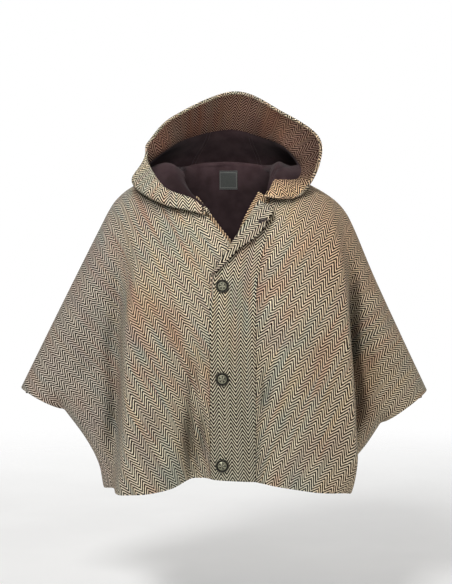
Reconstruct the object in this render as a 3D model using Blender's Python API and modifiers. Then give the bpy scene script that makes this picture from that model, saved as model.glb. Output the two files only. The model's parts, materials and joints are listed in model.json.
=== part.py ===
"""Hooded herringbone tweed cape, hollow and filled out as it hangs when worn.

The tables are in millimetres and the scene is in metres. +Z is up, the front faces -Y and +X is the
wearer's left. The origin lies between the two shoulder points of the neck, where the cape is carried.
"""

import math
from collections import namedtuple

import bmesh
import bpy
import numpy as np
from mathutils import Vector

MM = 0.001

# Thickness of each cloth, and the air left between plies and along seams
TWEED = 2.4
LINING = 1.6
FACING = 2.0
BAND = 3.2
LABEL = 0.8
PLY_GAP = 0.6
BAND_GAP = 1.4
SEAM_GAP = 0.55

# Buttons
BUTTON_RADIUS = 13.0
BUTTON_X = 1.0
BUTTON_HEIGHTS = (-239.0, -417.0, -583.0)

# Label at the inside of the back neck
LABEL_CENTRE = (13.5, -11.0)
LABEL_SIZE = (40.0, 38.0)

# Share of a panel's upper edge that is neck, and of its lower edge that is hem
NECK_SHARE = 0.22
HEM_SHARE = 0.60
BACK_CELLS = (36, 20)

# Front view of the outline, outwards from the centre on each side
EdgeRow = namedtuple("EdgeRow", "right_x right_z left_x left_z")
ARM_LINE = [
    EdgeRow(-88, 0, 102, 0),
    EdgeRow(-132, -14, 143, -14),
    EdgeRow(-182, -33, 186, -33),
    EdgeRow(-213, -57, 225, -57),
    EdgeRow(-231, -82, 250, -82),
    EdgeRow(-250, -119, 270, -119),
    EdgeRow(-299, -217, 311, -217),
    EdgeRow(-355, -330, 363, -330),
    EdgeRow(-411, -444, 419, -449),
]
UNDERARM = [
    EdgeRow(-244, -650, 247, -650),
    EdgeRow(-254, -600, 266, -602),
    EdgeRow(-281, -548, 298, -560),
    EdgeRow(-324, -489, 326, -517),
]
FRONT_NECK = [
    EdgeRow(-27, -103, 92, -76),
    EdgeRow(-58, -74, 103, -52),
    EdgeRow(-80, -38, 106, -25),
    EdgeRow(-88, 0, 102, 0),
]
BACK_NECK = [
    EdgeRow(8, 20, 8, 20),
    EdgeRow(-40, 16, 54, 16),
    EdgeRow(-70, 9, 84, 9),
    EdgeRow(-88, 0, 102, 0),
]
FRONT_HEM = [
    EdgeRow(30, -611, 40, -612),
    EdgeRow(-20, -610, 64, -615),
    EdgeRow(-60, -613, 105, -625),
    EdgeRow(-95, -627, 170, -632),
    EdgeRow(-140, -635, 215, -635),
    EdgeRow(-200, -641, 232, -642),
    EdgeRow(-244, -650, 247, -650),
]
BACK_HEM = [
    EdgeRow(8, -652, 8, -652),
    EdgeRow(-100, -656, 108, -656),
    EdgeRow(-190, -654, 196, -654),
    EdgeRow(-244, -650, 247, -650),
]
FRONT_EDGE = [
    EdgeRow(-27, -103, 92, -76),
    EdgeRow(15, -155, 62, -150),
    EdgeRow(26, -185, 46, -205),
    EdgeRow(30, -230, 40, -260),
    EdgeRow(30, -611, 40, -612),
]

# Depth of the cloth in front of and behind the side seams, by height
Section = namedtuple(
    "Section",
    "height seam_y front back sleeve_front sleeve_back ridge_right ridge_left lean_left round_over",
)
SECTIONS = [
    Section(20, 5, 64, 74, 64, 70, 190, 205, 0, 118),
    Section(-60, 4, 88, 98, 82, 86, 190, 222, 0, 104),
    Section(-130, 3, 113, 115, 82, 82, 186, 234, 2, 86),
    Section(-210, 2, 133, 123, 70, 72, 184, 238, 8, 74),
    Section(-300, 1, 143, 128, 58, 62, 184, 240, 14, 66),
    Section(-420, 1, 149, 136, 48, 54, 186, 243, 20, 60),
    Section(-540, 6, 152, 147, 44, 52, 192, 246, 24, 60),
    Section(-660, 12, 154, 160, 42, 52, 204, 250, 26, 60),
]
UNDER_ROUND = 44.0
RIDGE_SOFT = {"front_right": 26.0, "front_left": 17.0, "back_right": 52.0, "back_left": 52.0}

# Soft folds, which start at their top and grow to their full height at the hem
Fold = namedtuple("Fold", "face top_x top_z hem_x reach rise")
FOLDS = [
    Fold("front", -128, -170, -146, 46, 18),
    Fold("front", -78, -250, -50, 30, -30),
    Fold("front", 88, -300, 98, 34, -9),
    Fold("front", 168, -170, 196, 44, 16),
    Fold("back", -6, -190, 4, 52, 20),
    Fold("back", -96, -240, -104, 44, -18),
    Fold("back", 104, -230, 112, 44, -18),
    Fold("back", -176, -200, -188, 40, 18),
    Fold("back", 182, -210, 194, 40, 16),
]
HEM_HEIGHT = -650.0

# Button band: its two edges as laid flat, from hem to neck, and the line its top is turned back on
BandRow = namedtuple("BandRow", "seam_x seam_z free_x free_z")
BAND_EDGES = [
    BandRow(64, -614, -20.5, -610),
    BandRow(64, -420, -20.5, -420),
    BandRow(65, -250, -20.5, -240),
    BandRow(72, -203, -9, -184),
    BandRow(80, -160, 5, -147),
    BandRow(90, -119, 12, -104),
    BandRow(100, -81, 40, -57),
]
ROLL_START = (-17.0, -223.0)
ROLL_END = (77.0, -73.0)
ROLL_RADIUS = 3.0
LAPEL_LIFT = 4.0

# Hood, by stations from the right front end over the top to the left front end
Station = namedtuple("Station", "name share rim brim crown bag")
HOOD = [
    Station("right_end", 0.00, (-38, -109, -82), (-40, -113, -90), (-37, -112, -98), (-33, -106, -99)),
    Station("right_front", 0.08, (-62, -105, -65), (-72, -112, -79), (-65, -108, -91), (-60, -97, -85)),
    Station("right_roll", 0.16, (-112, -92, -43), (-129, -102, -63), (-115, -97, -78), (-95, -81, -57)),
    Station("right_shoulder", 0.24, (-144, -62, 4), (-180, -54, -26), (-162, -50, -43), (-124, -24, -2)),
    Station("right_turn", 0.29, (-154, -50, 34), (-156, -26, 8), (-170, 2, -4), (-142, 14, 2)),
    Station("right_side", 0.34, (-148, -46, 56), (-116, -10, 42), (-150, 50, 28), (-152, 54, -4)),
    Station("right_top", 0.41, (-100, -30, 110), (-67, 50, 77), (-120, 134, 26), (-110, 136, -50)),
    Station("top", 0.50, (20, -10, 161), (18, 70, 96), (10, 168, 24), (8, 162, -74)),
    Station("left_top", 0.59, (125, -32, 107), (93, 50, 74), (136, 134, 26), (124, 136, -50)),
    Station("left_side", 0.66, (196, -46, 52), (132, -10, 46), (168, 50, 28), (170, 54, -4)),
    Station("left_shoulder", 0.75, (193, -54, 0), (162, -27, 6), (159, 4, 8), (137, 4, 3)),
    Station("left_roll", 0.84, (160, -68, -57), (152, -54, -24), (142, -38, -6), (124, -34, -4)),
    Station("left_front", 0.92, (117, -91, -68), (121, -80, -38), (117, -64, -12), (106, -58, -16)),
    Station("left_end", 1.00, (84, -97, -62), (88, -94, -55), (92, -90, -57), (93, -89, -66)),
]
BAG_DROP = 36.0
NECK_STAND = 12.0
NECK_RISE = 1.0
NECK_INSET = 6.0
CENTRE_SEAMS = (0.452, 0.548)
HOOD_COLUMNS = 14
HOOD_ROWS = 15
BRIM_ROWS = 12
BRIM_DRAW = 0.20
SEAM_SHARE = 0.0005
LINING_SEAM = 0.003
HOOD_SLACK = 1.0

# A ply laid inside a sheet: how far in, and which of its columns and rows
Ply = namedtuple("Ply", "lift columns rows draw_first draw_last")

# Colours, as linear values
TWEED_COLOUR = (0.20, 0.17, 0.12, 1.0)
FACING_COLOUR = (0.09, 0.05, 0.035, 1.0)
LINING_COLOUR = (0.030, 0.020, 0.020, 1.0)
LABEL_COLOUR = (0.045, 0.043, 0.040, 1.0)
BUTTON_COLOUR = (0.14, 0.12, 0.09, 1.0)


class Profile:
    """One column of a table read smoothly, with no overshoot between its rows."""

    def __init__(self, knots, values):
        order = np.argsort(knots)
        self.knots = np.array(knots, float)[order]
        self.values = np.array(values, float)[order]
        rise = np.diff(self.values) / np.diff(self.knots)
        inner = rise[:-1] * rise[1:]
        total = np.where(inner > 0, rise[:-1] + rise[1:], 1.0)
        middle = np.where(inner > 0, 2.0 * inner / total, 0.0)
        self.slopes = np.concatenate([rise[:1], middle, rise[-1:]])

    def __call__(self, at):
        at = min(max(at, self.knots[0]), self.knots[-1])
        i = min(int(np.searchsorted(self.knots, at, side="right")) - 1, len(self.knots) - 2)
        span = self.knots[i + 1] - self.knots[i]
        t = (at - self.knots[i]) / span
        start = self.values[i] * (1 + 2 * t) * (1 - t) ** 2 + self.values[i + 1] * t * t * (3 - 2 * t)
        bend = self.slopes[i] * t * (1 - t) ** 2 - self.slopes[i + 1] * t * t * (1 - t)
        return start + span * bend


def between(points, at):
    """The smooth line through evenly counted points, read at a fractional count."""
    points = np.asarray(points, float)
    i = min(max(int(at), 0), len(points) - 2)
    t = at - i
    before = points[i - 1] if i > 0 else 2 * points[i] - points[i + 1]
    after = points[i + 2] if i + 2 < len(points) else 2 * points[i + 1] - points[i]
    leave = 0.5 * (points[i + 1] - before)
    arrive = 0.5 * (after - points[i])
    return (
        points[i] * (1 + 2 * t) * (1 - t) ** 2
        + points[i + 1] * t * t * (3 - 2 * t)
        + leave * t * (1 - t) ** 2
        - arrive * t * t * (1 - t)
    )


class Path:
    """A smooth line through a few points, read by the share of its length."""

    STEPS = 14

    def __init__(self, points):
        count = (len(points) - 1) * self.STEPS
        self.points = np.array([between(points, k / self.STEPS) for k in range(count + 1)])
        lengths = np.linalg.norm(np.diff(self.points, axis=0), axis=1)
        self.shares = np.concatenate([[0.0], np.cumsum(lengths)]) / lengths.sum()

    def at(self, share):
        return np.array([np.interp(share, self.shares, column) for column in self.points.T])

    def distance(self, point):
        start = self.points[:-1]
        along = self.points[1:] - start
        reach = np.asarray(point) - start
        t = np.clip((reach * along).sum(1) / (along * along).sum(1), 0.0, 1.0)
        return float(np.linalg.norm(reach - along * t[:, None], axis=1).min())


def smoothstep(t):
    t = min(max(t, 0.0), 1.0)
    return t * t * (3.0 - 2.0 * t)


def column(rows, side):
    """One side's points of an outline table."""
    if side == "right":
        return [(row.right_x, row.right_z) for row in rows]
    return [(row.left_x, row.left_z) for row in rows]


SIDES = ("right", "left")
ARM = {side: Path(column(ARM_LINE, side)) for side in SIDES}
UNDER = {side: Path(column(UNDERARM, side)) for side in SIDES}
NECK = {
    "front": {side: Path(column(FRONT_NECK, side)) for side in SIDES},
    "back": {side: Path(column(BACK_NECK, side)) for side in SIDES},
}
HEM = {
    "front": {side: Path(column(FRONT_HEM, side)) for side in SIDES},
    "back": {side: Path(column(BACK_HEM, side)) for side in SIDES},
}
EDGE = {side: Path(column(FRONT_EDGE, side)) for side in SIDES}
HEIGHTS = [row.height for row in SECTIONS]
BY_HEIGHT = {
    name: Profile(HEIGHTS, [getattr(row, name) for row in SECTIONS]) for name in Section._fields[1:]
}
BAND_SEAM = Path([(row.seam_x, row.seam_z) for row in BAND_EDGES])
BAND_FREE = Path([(row.free_x, row.free_z) for row in BAND_EDGES])


def openness(x, z):
    """0 on the side seams, 1 in the open cloth, rounded over like a pillow's edge."""
    arm = min(min(ARM[side].distance((x, z)) for side in SIDES) / BY_HEIGHT["round_over"](z), 1.0)
    under = min(min(UNDER[side].distance((x, z)) for side in SIDES) / UNDER_ROUND, 1.0)
    return math.sqrt((1 - (1 - arm) ** 2) * (1 - (1 - under) ** 2))


def fold_rise(face, x, z):
    """Height of all the soft folds at one place on a face."""
    total = 0.0
    for fold in FOLDS:
        grown = (fold.top_z - z) / (fold.top_z - HEM_HEIGHT)
        if fold.face == face and grown > 0:
            centre = fold.top_x + (fold.hem_x - fold.top_x) * grown
            total += fold.rise * grown**1.2 * math.exp(-(((x - centre) / fold.reach) ** 2))
    return total


def sleeve_share(face, x, z):
    """0 on the body of a panel, 1 on its sleeve, changing over the long ridge between them."""
    side = "right" if x < 0 else "left"
    soft = RIDGE_SOFT[f"{face}_{side}"]
    return smoothstep((abs(x) - BY_HEIGHT[f"ridge_{side}"](z) + soft) / (2 * soft))


def cloth_y(face, x, z):
    """Depth of a panel's outer surface at one place of the front view."""
    share = sleeve_share(face, x, z)
    body = BY_HEIGHT[face](z) + fold_rise(face, x, z)
    depth = (body * (1 - share) + BY_HEIGHT[f"sleeve_{face}"](z) * share) * openness(x, z)
    outwards = -1.0 if face == "front" else 1.0
    return BY_HEIGHT["seam_y"](z) + outwards * (depth + SEAM_GAP)


def leaned(x, z):
    """Sideways lean of the left front's ridge, which hangs over the hollow behind it."""
    if x < 0:
        return x
    crest = BY_HEIGHT["ridge_left"](z) - 12.0
    lean = BY_HEIGHT["lean_left"](z) * openness(x, z)
    return x + lean * math.exp(-(((x - crest) / 24.0) ** 2))


def spaced(v):
    """Rows drawn closer towards both ends, where the cloth rounds over its seams."""
    return 0.5 - 0.5 * math.cos(math.pi * v)


def panel_xz(face, side, u, w):
    """Front-view place on a panel, from its centre to its cuff and from its top to its bottom."""
    neck = NECK[face][side]
    hem = HEM[face][side]
    if u < NECK_SHARE:
        top = neck.at(u / NECK_SHARE)
    else:
        top = ARM[side].at((u - NECK_SHARE) / (1 - NECK_SHARE))
    if u < HEM_SHARE:
        bottom = hem.at(u / HEM_SHARE)
    else:
        bottom = UNDER[side].at((u - HEM_SHARE) / (1 - HEM_SHARE))
    place = top * (1 - w) + bottom * w
    if face == "front":
        straight = neck.at(0.0) * (1 - w) + hem.at(0.0) * w
        place = place + (EDGE[side].at(w) - straight) * (1 - smoothstep(u / 0.45))
    return place


def front_point(side):
    def point(u, v):
        x, z = panel_xz("front", side, u, spaced(v))
        return np.array([leaned(x, z), cloth_y("front", x, z), z])

    return point


def back_point(u, v):
    x, z = panel_xz("back", "right" if u < 0 else "left", abs(u), spaced(v))
    return np.array([x, cloth_y("back", x, z), z])


def back_place(u, v):
    """A small square inside the back neck, for the label."""
    x = LABEL_CENTRE[0] + (u - 0.5) * LABEL_SIZE[0]
    z = LABEL_CENTRE[1] - (v - 0.5) * LABEL_SIZE[1]
    return np.array([x, cloth_y("back", x, z), z])


def neck_ring():
    """The neck seam, from the right front corner round the back to the left front corner."""
    shares = [k / 8 for k in range(9)]
    right = [("front", NECK["front"]["right"].at(s)) for s in shares]
    back = [("back", NECK["back"]["right"].at(1 - s)) for s in shares[1:]]
    back += [("back", NECK["back"]["left"].at(s)) for s in shares[1:]]
    left = [("front", NECK["front"]["left"].at(1 - s)) for s in shares[1:]]
    ring = []
    for face, (x, z) in right + back + left:
        y = cloth_y(face, x, z)
        if face == "front":
            inset = NECK_INSET * smoothstep(-z / 16.0)
            x -= math.copysign(inset, x)
            y -= 0.4 * inset
        ring.append((x, y, z + NECK_RISE))
    return Path(ring)


RING = neck_ring()
HOOD_SHARES = [station.share for station in HOOD]


def neck_stand(row):
    """Where the hood leaves its seam: standing up at the sides, hanging as a bag behind."""
    rise = NECK_STAND - BAG_DROP * max(math.sin(math.pi * row.share), 0.0) ** 8
    return RING.at(row.share) * 0.5 + np.array(row.bag) * 0.5 + np.array([0.0, 0.0, rise])


HOOD_POINTS = np.array(
    [[RING.at(row.share), neck_stand(row), row.bag, row.crown, row.brim, row.rim] for row in HOOD], float
)


def hood_point(a, b):
    """Outer surface of the hood: a runs over the top from end to end, b from neck seam to rim."""
    count = np.interp(a, HOOD_SHARES, range(len(HOOD)))
    knots = between(HOOD_POINTS, count)
    knots[0] = RING.at(a)
    return between(knots, b * (len(knots) - 1))


def band_point(c, t):
    """Outer surface of the button band: c runs from its seam to its free edge, t from hem to neck."""
    start = np.array(ROLL_START)
    along = np.array(ROLL_END) - start
    along /= np.linalg.norm(along)
    normal = np.array([-along[1], along[0]])
    seam = BAND_SEAM.at(t)
    free = BAND_FREE.at(t)
    turn = math.pi * ROLL_RADIUS
    width = np.linalg.norm(free - seam)
    seam_q = (seam - start) @ normal
    free_q = (free - start) @ normal
    reach = (0.0 - seam_q) / (free_q - seam_q) if free_q > seam_q else 1.0
    reach = min(max(reach, 0.3), 0.97)
    loose = smoothstep((t - 0.52) / 0.14)
    fold = 0.45 + (reach - 0.45) * loose
    bend = min(0.27 + (turn / width - 0.27) * loose, (1 - fold) * 0.5)
    s = np.interp(c, (0.0, 0.4, 0.7, 1.0), (0.0, fold, fold + bend, 1.0))
    place = seam + (free - seam) * s
    q = (place - start) @ normal
    rise = BAND_GAP + BAND
    if q > turn:
        shift = -(q - turn)
        rise += 2 * ROLL_RADIUS + LAPEL_LIFT * min((q - turn) / 30.0, 1.0)
    elif q > 0:
        shift = ROLL_RADIUS * math.sin(q / ROLL_RADIUS)
        rise += ROLL_RADIUS * (1 - math.cos(q / ROLL_RADIUS))
    else:
        shift = q
    x, z = place + normal * (shift - q)
    return np.array([x, cloth_y("front", x, z) - rise, z])


def material(name, colour, roughness, metallic=0.0):
    made = bpy.data.materials.new(name)
    made.use_nodes = True
    shader = made.node_tree.nodes["Principled BSDF"]
    shader.inputs["Base Color"].default_value = colour
    shader.inputs["Roughness"].default_value = roughness
    shader.inputs["Metallic"].default_value = metallic
    return made


def place_object(collection, name, mesh, finish):
    made = bpy.data.objects.new(name, mesh)
    made.data.materials.append(finish)
    collection.objects.link(made)
    return made


def cloth(collection, name, point, turn, cells, thickness, finish, across=(0, 1), ply=None):
    """A sheet shaped by point(u, v), with its thickness on its inner side."""
    body = bmesh.new()
    bmesh.ops.create_grid(body, x_segments=cells[0], y_segments=cells[1], size=0.5)
    grid = {}
    for vert in body.verts:
        share_u = vert.co.x + 0.5
        share_v = vert.co.y + 0.5
        grid[round(share_u * cells[0]), round(share_v * cells[1])] = vert
        vert.co = Vector(point(across[0] + (across[1] - across[0]) * share_u, share_v) * MM)
    if turn < 0:
        bmesh.ops.reverse_faces(body, faces=body.faces[:])
    bmesh.ops.triangulate(body, faces=body.faces[:], quad_method="FIXED")
    if ply:
        lay_inside(body, grid, ply)
    mesh = bpy.data.meshes.new(name)
    body.to_mesh(mesh)
    body.free()
    made = place_object(collection, name, mesh, finish)
    shell = made.modifiers.new("thickness", "SOLIDIFY")
    shell.thickness = thickness * MM
    shell.offset = -1.0
    return made


def lay_inside(body, grid, ply):
    """Moves a sheet along its normals to lie inside another, and keeps some of its columns and rows.

    A row that meets a neighbour is drawn back by its share of a cell.
    """
    body.normal_update()
    for vert in body.verts:
        vert.co += vert.normal * ply.lift * MM
    first, last = ply.rows
    for (i, j), vert in grid.items():
        if j == first and ply.draw_first:
            vert.co = vert.co.lerp(grid[i, j + 1].co, ply.draw_first)
        if j == last and ply.draw_last:
            vert.co = vert.co.lerp(grid[i, j - 1].co, ply.draw_last)
    outside = [
        vert
        for (i, j), vert in grid.items()
        if not (ply.columns[0] <= i <= ply.columns[1] and first <= j <= last)
    ]
    bmesh.ops.delete(body, geom=outside, context="VERTS")


def button(collection, name, height, finish):
    """A turned button with a raised rim round a domed centre, resting on the band."""
    radius = BUTTON_RADIUS * MM
    outline = [
        (0.0, 0.0),
        (0.80 * radius, 0.0),
        (1.00 * radius, 0.0020),
        (0.97 * radius, 0.0036),
        (0.86 * radius, 0.0040),
        (0.70 * radius, 0.0028),
        (0.62 * radius, 0.0036),
        (0.34 * radius, 0.0046),
        (0.0, 0.0050),
    ]
    mesh = bpy.data.meshes.new(name)
    edges = [(k, k + 1) for k in range(len(outline) - 1)]
    mesh.from_pydata([(r, 0.0, h) for r, h in outline], edges, [])
    made = place_object(collection, name, mesh, finish)
    lathe = made.modifiers.new("turned", "SCREW")
    lathe.angle = 2 * math.pi
    lathe.steps = 20
    lathe.render_steps = 20
    lathe.use_merge_vertices = True
    lathe.merge_threshold = 0.00005
    lathe.use_normal_calculate = True
    slope = cloth_y("front", BUTTON_X, height + 12) - cloth_y("front", BUTTON_X, height - 12)
    lean = math.atan2(slope, 24.0)
    made.rotation_euler = (math.pi / 2 - lean, 0.0, 0.0)
    off = BAND_GAP + BAND + 0.6
    y = cloth_y("front", BUTTON_X, height) - off
    made.location = (BUTTON_X * MM, y * MM, height * MM)
    return made


def build():
    for existing in list(bpy.data.objects):
        bpy.data.objects.remove(existing, do_unlink=True)
    collection = bpy.data.collections.new("tweed_cape")
    bpy.context.scene.collection.children.link(collection)

    tweed = material("tweed", TWEED_COLOUR, 0.95)
    facing = material("facing_tweed", FACING_COLOUR, 0.95)
    fleece = material("lining_fleece", LINING_COLOUR, 0.98)
    woven = material("woven_label", LABEL_COLOUR, 0.85)
    metal = material("antique_metal", BUTTON_COLOUR, 0.45, 0.8)

    inside = -(TWEED + PLY_GAP)
    cloth(collection, "front_right", front_point("right"), 1, (22, 22), TWEED, tweed)
    cloth(collection, "front_left", front_point("left"), -1, (24, 22), TWEED, tweed)
    cloth(collection, "back", back_point, 1, BACK_CELLS, TWEED, tweed, across=(-1, 1))
    cloth(collection, "button_band", band_point, -1, (10, 34), BAND, tweed)
    middle = BACK_CELLS[0] // 2
    body_lining = Ply(inside, (middle - 8, middle + 8), (1, BACK_CELLS[1] - 1), 0, 0)
    cloth(collection, "lining_back", back_point, 1, BACK_CELLS, LINING, fleece, (-1, 1), body_lining)
    label_ply = Ply(inside - LINING - PLY_GAP - 1.0, (0, 3), (0, 3), 0, 0)
    cloth(collection, "label", back_place, 1, (3, 3), LABEL, woven, ply=label_ply)

    hood_spans = {
        "right": (0.0, CENTRE_SEAMS[0] - SEAM_SHARE, HOOD_COLUMNS, (2, HOOD_COLUMNS)),
        "centre": (CENTRE_SEAMS[0] + SEAM_SHARE, CENTRE_SEAMS[1] - SEAM_SHARE, 3, (0, 3)),
        "left": (CENTRE_SEAMS[1] + SEAM_SHARE, 1.0, HOOD_COLUMNS, (0, HOOD_COLUMNS - 3)),
    }
    for name, (start, end, count, lined) in hood_spans.items():
        cells = (count, HOOD_ROWS)
        cloth(collection, f"hood_{name}", hood_point, -1, cells, TWEED, tweed, (start, end))
        ply = Ply(inside - HOOD_SLACK, lined, (1, BRIM_ROWS), 0, BRIM_DRAW)
        span = (start + LINING_SEAM if start > 0 else start, end - LINING_SEAM if end < 1 else end)
        cloth(collection, f"hood_lining_{name}", hood_point, -1, cells, LINING, fleece, span, ply)
    count = 2 * HOOD_COLUMNS + 3
    faced = Ply(inside, (2, count - 2), (BRIM_ROWS, HOOD_ROWS), BRIM_DRAW, 0)
    cloth(collection, "hood_facing", hood_point, -1, (count, HOOD_ROWS), FACING, facing, ply=faced)

    for number, height in enumerate(BUTTON_HEIGHTS, start=1):
        button(collection, f"button_{number}", height, metal)


build()
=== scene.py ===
"""Looks of the hooded tweed cape: woven cloth, fleece lining, sewing, buttons and a plain studio.

Tables are in millimetres and meshes in metres. +Z is up, the front faces -Y and +X is the wearer's
left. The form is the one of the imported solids, on finer grids and with the smaller creases.
"""

import json
import logging
import math
from dataclasses import dataclass, field, replace
from enum import Enum
from typing import NamedTuple, Sequence

import bpy
import numpy as np
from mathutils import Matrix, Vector
from mathutils.bvhtree import BVHTree

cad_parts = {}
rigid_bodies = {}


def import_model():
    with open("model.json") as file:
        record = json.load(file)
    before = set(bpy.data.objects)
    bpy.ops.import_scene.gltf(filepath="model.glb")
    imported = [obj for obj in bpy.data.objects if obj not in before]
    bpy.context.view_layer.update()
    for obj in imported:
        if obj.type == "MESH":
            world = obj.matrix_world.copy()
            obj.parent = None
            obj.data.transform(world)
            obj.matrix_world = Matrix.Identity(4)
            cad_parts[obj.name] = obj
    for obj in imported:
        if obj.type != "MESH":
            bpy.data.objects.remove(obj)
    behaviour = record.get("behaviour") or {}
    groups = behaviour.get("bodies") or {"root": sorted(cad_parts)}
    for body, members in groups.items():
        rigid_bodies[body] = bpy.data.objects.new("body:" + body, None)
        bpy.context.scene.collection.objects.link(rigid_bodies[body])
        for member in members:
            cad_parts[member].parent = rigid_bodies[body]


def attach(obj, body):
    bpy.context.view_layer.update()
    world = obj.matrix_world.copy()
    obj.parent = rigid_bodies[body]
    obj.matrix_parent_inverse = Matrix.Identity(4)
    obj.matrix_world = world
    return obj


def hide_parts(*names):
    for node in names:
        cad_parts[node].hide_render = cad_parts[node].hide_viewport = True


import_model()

LOG = logging.getLogger("tweed_cape")
MM = 0.001
BODY = "root"
UV_NAME = "weave"
# Name of the stored painted shade, which darkens the tweed where cloth is shut in.
PAINTED_SHADE_NAME = "hollow"
PROUD_NAME = "proud"
UNWRAP_ROUNDS = 14

Array = np.ndarray
Colour = tuple[float, float, float, float]
Socket = bpy.types.NodeSocket
Material = bpy.types.Material


class Slot(Enum):
    """The record's material slots."""

    TWEED = "tweed"
    FACING = "facing_tweed"
    FLEECE = "lining_fleece"
    LABEL = "woven_label"
    METAL = "antique_metal"


class Held(Enum):
    """How a sheet of cloth is held."""

    HUNG = "hung"
    LAID = "laid"
    FOLDED = "folded"


class Thread(Enum):
    """Sewing threads, by their names among the finishes."""

    TAN = "thread"
    DARK = "dark_thread"
    # Near-black, laid in the buttonhole as its painted shadow.
    HOLE = "hole_thread"


class Face(Enum):
    """The two faces of the cape's body."""

    FRONT = "front"
    BACK = "back"


class Side(Enum):
    """The wearer's two sides."""

    RIGHT = "right"
    LEFT = "left"


class Edge(Enum):
    """The four edges of a sheet's grid."""

    FIRST_ROW = "first_row"
    LAST_ROW = "last_row"
    FIRST_COLUMN = "first_column"
    LAST_COLUMN = "last_column"


class EdgeRow(NamedTuple):
    """Front-view place of an outline on each side of the cape."""

    right_x: float
    right_z: float
    left_x: float
    left_z: float

    def on(self, side: Side) -> tuple[float, float]:
        """Place on one side."""
        return self[:2] if side is Side.RIGHT else self[2:]


class Section(NamedTuple):
    """Depths of the cloth before and behind the side seams, and the ridge to the sleeve, at a height."""

    height: float
    seam_y: float
    front: float
    back: float
    sleeve_front: float
    sleeve_back: float
    ridge_right: float
    ridge_left: float
    lean_left: float
    round_over: float


class Fold(NamedTuple):
    """A soft fold that starts at its top and grows to its full height at the hem."""

    face: Face
    top_x: float
    top_z: float
    hem_x: float
    reach: float
    rise: float


class Crease(NamedTuple):
    """A short trough or ridge between two places of the front view, fading at both ends."""

    face: Face
    start_x: float
    start_z: float
    end_x: float
    end_z: float
    reach: float
    rise: float


class BandRow(NamedTuple):
    """The two edges of the button band as laid flat."""

    seam_x: float
    seam_z: float
    free_x: float
    free_z: float


class Station(NamedTuple):
    """A line over the hood from neck seam to rim, at a share of the way round."""

    share: float
    rim: tuple[float, float, float]
    brim: tuple[float, float, float]
    crown: tuple[float, float, float]
    bag: tuple[float, float, float]


class Dent(NamedTuple):
    """A soft hollow or swelling of the hood, at shares round it and up it."""

    share: float
    up: float
    reach: float
    reach_up: float
    slant: float
    rise: float


class BrimRow(NamedTuple):
    """How far up the hood its facing starts, at a share of the way round."""

    share: float
    up: float


class StripRow(NamedTuple):
    """A front-view place on an edge, and how far the strip under it shows past it."""

    x: float
    z: float
    shows: float


class ButtonRow(NamedTuple):
    """A ring of a button: its share of the radius, its height and how bright it is rubbed."""

    share: float
    rise: float
    rubbed: float


class Stitch(NamedTuple):
    """Sizes of a stitch, and the angle in degrees between it and its line."""

    pitch: float
    length: float
    width: float
    turn: float = 0.0


class Seam(NamedTuple):
    """Lines sewn with one thread, each with its points and normals."""

    name: str
    lines: Sequence[tuple[Array, Array]]
    stitch: Stitch
    thread: Thread
    slot: Slot


class EdgeSeam(NamedTuple):
    """A seam that follows edges of sheets, a little inside them and above them."""

    name: str
    edges: Sequence[tuple[str, Edge]]
    inset: float
    lift: float
    stitch: Stitch
    thread: Thread
    slot: Slot


class Light(NamedTuple):
    """A square soft light: where it stands and points, its side, its watts and its beam in degrees."""

    name: str
    place: tuple[float, float, float]
    aim: tuple[float, float, float]
    size: float
    power: float
    spread: float = 180.0


def smoothstep(t: Array) -> Array:
    """Soft step from 0 to 1."""
    t = np.clip(t, 0.0, 1.0)
    return t * t * (3.0 - 2.0 * t)


def smooth_line(points: Array, at: Array) -> Array:
    """Reads the smooth line through evenly counted points.

    Args:
        points: the points along the first axis, of any shape after it
        at: fractional counts

    Returns:
        One point for each count.
    """
    points = np.asarray(points, float)
    first = 2 * points[:1] - points[1:2]
    last = 2 * points[-1:] - points[-2:-1]
    padded = np.concatenate([first, points, last])
    i = np.clip(np.floor(at).astype(int), 0, len(points) - 2)
    t = (np.asarray(at) - i).reshape((-1,) + (1,) * (points.ndim - 1))
    here, there = padded[i + 1], padded[i + 2]
    leave = 0.5 * (there - padded[i])
    arrive = 0.5 * (padded[i + 3] - here)
    return (
        here * (1 + 2 * t) * (1 - t) ** 2
        + there * t * t * (3 - 2 * t)
        + leave * t * (1 - t) ** 2
        - arrive * t * t * (1 - t)
    )


class SmoothColumn:
    """One column of a table read smoothly, with no overshoot between its rows."""

    def __init__(self, knots: Sequence[float], values: Sequence[float]) -> None:
        """Prepares the slopes at the knots.

        Args:
            knots: where the values stand
            values: the values
        """
        order = np.argsort(knots)
        self.knots = np.array(knots, float)[order]
        self.values = np.array(values, float)[order]
        rise = np.diff(self.values) / np.diff(self.knots)
        inner = rise[:-1] * rise[1:]
        total = np.where(inner > 0, rise[:-1] + rise[1:], 1.0)
        middle = np.where(inner > 0, 2.0 * inner / total, 0.0)
        self.slopes = np.concatenate([rise[:1], middle, rise[-1:]])

    def __call__(self, at: Array) -> Array:
        """Reads the column.

        Args:
            at: places between the knots

        Returns:
            The values there.
        """
        at = np.clip(at, self.knots[0], self.knots[-1])
        i = np.clip(np.searchsorted(self.knots, at, side="right") - 1, 0, len(self.knots) - 2)
        span = self.knots[i + 1] - self.knots[i]
        t = (at - self.knots[i]) / span
        start = self.values[i] * (1 + 2 * t) * (1 - t) ** 2 + self.values[i + 1] * t * t * (3 - 2 * t)
        bend = self.slopes[i] * t * (1 - t) ** 2 - self.slopes[i + 1] * t * t * (1 - t)
        return start + span * bend


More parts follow.
